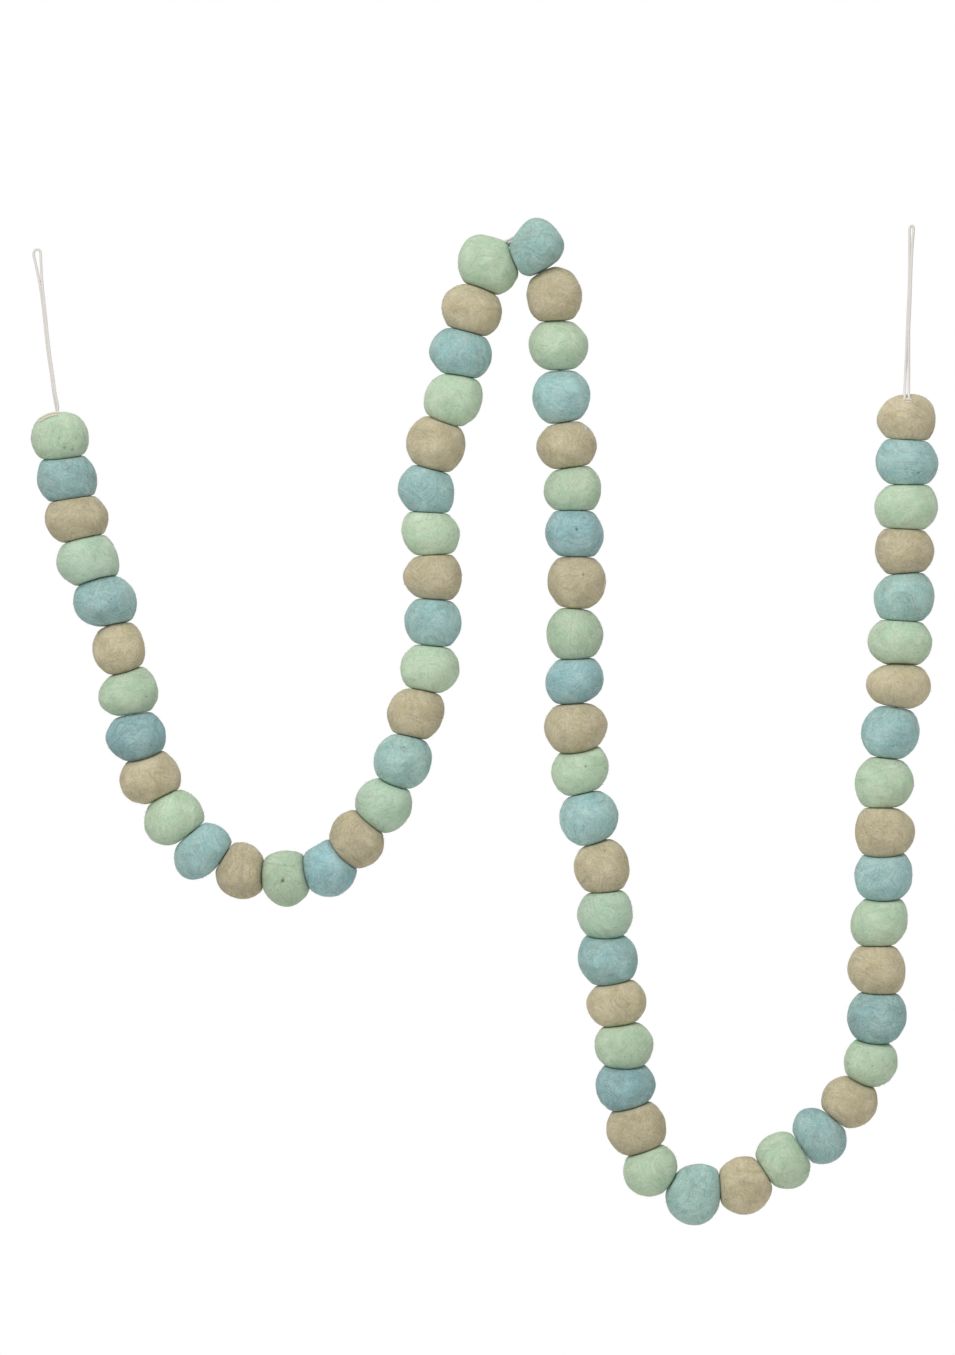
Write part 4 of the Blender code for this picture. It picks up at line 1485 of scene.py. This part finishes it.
@dataclass
class TwistedString:
    """The doubled string: its end loops, knot and tail, and what runs between and inside the balls."""

    row: GarlandRow
    forms: dict[int, BallForm]
    finish: bpy.types.Material
    diameter: float = 0.0015
    spacing: float = 1.64
    twist_pitch: float = 0.0042
    step: float = 0.00035
    knot_matted: float = 0.8
    tail_matted: float = 0.95
    plies: int = 3
    points_to_a_ply: int = 4
    groove_share: float = 0.7
    curve_steps: int = 32
    hook_knot_steps: int = 120
    profile: bpy.types.Object = field(init=False)

    @property
    def apart(self) -> np.ndarray:
        """Half the way from one strand of the doubled string to the other, in millimetres."""
        return np.array((0.0, self.spacing / 2, 0.0))

    def shape_profile(self) -> None:
        """Makes the string's cross-section: three plies side by side, as a curve."""
        deselect()
        points = self.plies * self.points_to_a_ply
        bpy.ops.mesh.primitive_circle_add(vertices=points, radius=self.diameter / 2)
        outline = bpy.context.active_object
        bpy.ops.object.mode_set(mode="EDIT")
        bpy.ops.mesh.select_mode(type="VERT")
        bpy.ops.mesh.select_all(action="DESELECT")
        bpy.ops.object.mode_set(mode="OBJECT")
        for vertex in outline.data.vertices:
            vertex.select = vertex.index % self.points_to_a_ply == 0
        bpy.ops.object.mode_set(mode="EDIT")
        bpy.ops.transform.resize(value=(self.groove_share,) * 3, center_override=(0.0, 0.0, 0.0))
        bpy.ops.object.mode_set(mode="OBJECT")
        bpy.ops.object.convert(target="CURVE")
        self.profile = bpy.context.active_object

    def smooth(self, route: list[np.ndarray]) -> np.ndarray:
        """Points at an even step on a smooth curve through a route.

        Args:
            route: the points to pass through, in millimetres.

        Returns:
            The points in metres, from the first of the route to the last.
        """
        knots = np.array(route) * MM
        ahead = np.vstack([knots[1:], 2 * knots[-1:] - knots[-2:-1]])
        behind = np.vstack([2 * knots[:1] - knots[1:2], knots[:-1]])
        slopes = (ahead - behind) / 2
        curve = []
        t = np.linspace(0.0, 1.0, self.curve_steps, endpoint=False)[:, None]
        for k in range(len(knots) - 1):
            curve.append(
                knots[k] * (1 - t) ** 2 * (1 + 2 * t)
                + knots[k + 1] * t**2 * (3 - 2 * t)
                + slopes[k] * t * (1 - t) ** 2
                - slopes[k + 1] * t**2 * (1 - t)
            )
        curve = np.vstack([*curve, knots[-1:]])
        run = np.concatenate([[0.0], np.cumsum(np.linalg.norm(np.diff(curve, axis=0), axis=1))])
        stops = np.linspace(0.0, run[-1], max(int(run[-1] / self.step), 2) + 1)
        return np.column_stack([np.interp(stops, run, curve[:, axis]) for axis in range(3)])

    def sweep(self, name: str, strands: list[np.ndarray], is_twisted: bool = True) -> bpy.types.Object:
        """Sweeps the string along one or more lines.

        Args:
            name: the piece's name.
            strands: the points of each line, in metres.
            is_twisted: whether it shows its plies, or is a plain round strand.

        Returns:
            The piece, as a mesh.
        """
        curve = bpy.data.curves.new(name, "CURVE")
        curve.dimensions = "3D"
        curve.use_fill_caps = True
        if is_twisted:
            curve.bevel_mode = "OBJECT"
            curve.bevel_object = self.profile
        else:
            curve.bevel_depth = self.diameter / 2
            curve.bevel_resolution = 2
        for points in strands:
            spline = curve.splines.new("POLY")
            spline.points.add(len(points) - 1)
            for index, (place, point) in enumerate(zip(spline.points, points)):
                place.co = (*point, 1.0)
                place.tilt = 2 * math.pi * index * self.step / self.twist_pitch
        piece = bpy.data.objects.new(name, curve)
        bpy.context.scene.collection.objects.link(piece)
        activate(piece)
        bpy.ops.object.convert(target="MESH")
        piece = bpy.context.active_object
        bpy.ops.object.shade_smooth()
        piece.data.materials.clear()
        piece.data.materials.append(self.finish)
        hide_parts("string")
        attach(piece, "root")
        log.info("%s: %d faces", piece.name, len(piece.data.polygons))
        return piece

    def loop(self, name: str, ball: int, route: tuple) -> None:
        """One end loop, from the end ball round the hook and back to the ball.

        Args:
            name: the piece's name.
            ball: the end ball's number.
            route: the loop's points.
        """
        hole = np.array(FREE_ENDS[ball].hole)
        start, stop = hole - self.apart, hole + self.apart
        if ball == len(STRUNG):
            start, stop = (self.forms[ball].front_point(KNOT_SPOT[0] + x, KNOT_SPOT[1]) for x in KNOT_LEGS)
        line = self.smooth([start, *(np.array(point) for point in route), stop])
        piece = self.sweep(name, [line])

    def matted_piece(self, name: str, ball: int, strands: list, matted: float) -> None:
        """A piece of string that lies on a ball's front, with wool matted into it.

        Args:
            name: the piece's name.
            ball: the ball's number.
            strands: the points of each strand (x, z, lift).
            matted: how much wool is in it, from 0 to 1.
        """
        form = self.forms[ball]
        lines = [self.smooth([form.front_point(*point) for point in strand]) for strand in strands]
        piece = self.sweep(name, lines)
        put_attribute(piece.data, "matted", np.full(len(piece.data.vertices), matted))

    def knot(self) -> None:
        """A small tight knot of two turns across the string, half sunk in the last ball."""
        x0, z0 = KNOT_SPOT
        turns = [[(x0 + x, z0 + z, lift) for x, z, lift in turn] for turn in KNOT_TURNS]
        self.matted_piece("string_knot", len(STRUNG), turns, self.knot_matted)

    def hook_knot(self) -> None:
        """The overhand knot behind the peak, whose edge shows between the two balls."""
        turns = np.linspace(0.0, 2 * math.pi, self.hook_knot_steps)
        across = np.sin(turns) + 2 * np.sin(2 * turns)
        up = np.cos(turns) - 2 * np.cos(2 * turns)
        line = np.column_stack([across, -np.sin(3 * turns), up]) * np.array(HOOK_KNOT_SCALE)
        self.sweep("string_hook_knot", [(line + np.array(HOOK_KNOT_SPOT)) * MM])

    def tail(self) -> None:
        """The frayed end of the string, which lies half sunk along the first ball's shoulder."""
        strands = [[(x, z, TAIL_LIFT) for x, z in strand] for strand in TAIL_STRANDS]
        self.matted_piece("string_tail", 1, strands, self.tail_matted)

    def build(self) -> None:
        """Makes the loops first, then the knot and tail, the bare stretch, and the runs inside."""
        self.shape_profile()
        self.loop("string_loop_left", 1, LEFT_LOOP)
        self.loop("string_loop_right", len(STRUNG), RIGHT_LOOP)
        self.knot()
        self.tail()
        sides = (-self.apart, self.apart)
        left = self.row.string_run(1, PEAK_BALL)
        right = self.row.string_run(PEAK_BALL + 1, len(STRUNG))
        over = []
        for side, strand in zip(sides, PEAK_STRANDS):
            before, after = ([point + side for point in ends] for ends in (left[-2:], right[:2]))
            over.append(self.smooth([*before, *(np.array(point) for point in strand), *after]))
        self.sweep("string_over_hook", over)
        self.hook_knot()
        for name, run in (("string_run_left", left), ("string_run_right", right)):
            lines = [np.array([(point + side) * MM for point in run]) for side in sides]
            self.sweep(name, lines, is_twisted=False)
        bpy.data.objects.remove(self.profile, do_unlink=True)


@dataclass
class Studio:
    """Floor, lights and camera round the garland."""

    distance: float = 6.0
    frame_height: float = 0.71815
    aim: Triple = (-0.0183, 0.0, -0.2329)
    floor_height: float = -0.85
    floor_radius: float = 1.2
    sensor_width: float = 36.0
    nearest: float = 0.05
    farthest: float = 50.0
    fill_from_below: float = 0.43
    fill_from_above: float = 0.78
    fill_colour: tuple[float, float, float, float] = (1.0, 0.995, 0.98, 1.0)
    key_place: Triple = (-0.85, -2.1, 1.8)
    key_size: float = 1.3
    key_power: float = 43.0

    def camera(self) -> None:
        """A long lens straight in front, framed as the photograph is."""
        deselect()
        place = (self.aim[0], -self.distance, self.aim[2])
        bpy.ops.object.camera_add(location=place, rotation=(math.pi / 2, 0.0, 0.0))
        camera = bpy.context.active_object
        camera.name = "front_camera"
        camera.data.sensor_width = self.sensor_width
        camera.data.lens = self.sensor_width * self.distance / self.frame_height
        camera.data.clip_start = self.nearest
        camera.data.clip_end = self.farthest
        bpy.context.scene.camera = camera

    def floor(self) -> None:
        """A round pale floor below the garland, out of the front view."""
        deselect()
        bpy.ops.mesh.primitive_circle_add(
            vertices=96, radius=self.floor_radius, fill_type="NGON", location=(0.0, 0.0, self.floor_height)
        )
        floor = bpy.context.active_object
        floor.name = "studio_floor"
        bpy.ops.object.transform_apply(location=True)
        floor.data.materials.append(FloorFinish().material())

    def light(self) -> None:
        """One soft area light aimed at the garland's middle."""
        deselect()
        bpy.ops.object.light_add(type="AREA", location=self.key_place)
        light = bpy.context.active_object
        light.name = "key_light"
        light.data.shape = "SQUARE"
        light.data.size = self.key_size
        light.data.energy = self.key_power
        towards = light.location.copy()
        towards.x, towards.y, towards.z = (self.aim[axis] - self.key_place[axis] for axis in range(3))
        light.rotation_euler = towards.to_track_quat("-Z", "Y").to_euler()

    def world(self) -> None:
        """White behind the garland for the camera, and a softer white, stronger from above, as fill light."""
        world = bpy.data.worlds.new("studio_world")
        world.use_nodes = True
        bench = NodeBench(world.node_tree)
        world.node_tree.nodes.clear()
        rays = bench.add("ShaderNodeLightPath").outputs["Is Camera Ray"]
        around = bench.add("ShaderNodeSeparateXYZ", {0: bench.add("ShaderNodeTexCoord").outputs["Generated"]})
        limits = {"Value": around.outputs["Z"], "From Min": -1.0, "From Max": 1.0}
        limits |= {"To Min": self.fill_from_below, "To Max": self.fill_from_above}
        fill = bench.add("ShaderNodeMapRange", limits).outputs["Result"]
        soft = bench.add("ShaderNodeBackground", {"Color": self.fill_colour, "Strength": fill})
        white = bench.add("ShaderNodeBackground", {"Color": (1.0, 1.0, 1.0, 1.0), "Strength": 1.0})
        mixed = bench.add("ShaderNodeMixShader", {0: rays, 1: soft.outputs[0], 2: white.outputs[0]})
        bench.add("ShaderNodeOutputWorld", {"Surface": mixed.outputs[0]})
        bpy.context.scene.world = world

    def build(self) -> None:
        """Sets up the whole studio."""
        self.camera()
        self.floor()
        self.world()
        self.light()
        bpy.context.scene.view_settings.view_transform = "Standard"
        bpy.context.scene.view_settings.look = "None"


def main() -> None:
    """Builds the studio and the garland."""
    logging.basicConfig(level=logging.INFO, format="%(name)s %(message)s")
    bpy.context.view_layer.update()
    Studio().build()
    row = GarlandRow()
    forms = {number: BallForm(number, row) for number in row.widest}
    cotton = CottonFinish().material()
    TwistedString(row, forms, cotton).build()
    matted_wool = MattedWool().group()
    finishes = {
        finish.wool: finish.material(matted_wool)
        for finish in (
            FeltFinish(Wool.MINT, (0.500, 0.609, 0.457), (0.400, 0.555, 0.384), 1.0),
            FeltFinish(Wool.AQUA, (0.370, 0.527, 0.504), (0.262, 0.445, 0.440), 1.5),
            FeltFinish(Wool.BEIGE, (0.545, 0.485, 0.339), (0.445, 0.390, 0.247), 1.33),
        )
    }
    strung = StrungBalls(forms, finishes)
    strung.build()
    for wool in Wool:
        StrayFibres(wool, finishes[wool], LooseFibre(thickness=0.00007)).build(strung.balls)
    LintFlecks(forms, cotton, LooseFibre(thickness=0.0002)).build()
    deselect()


if __name__ == "__main__":
    main()
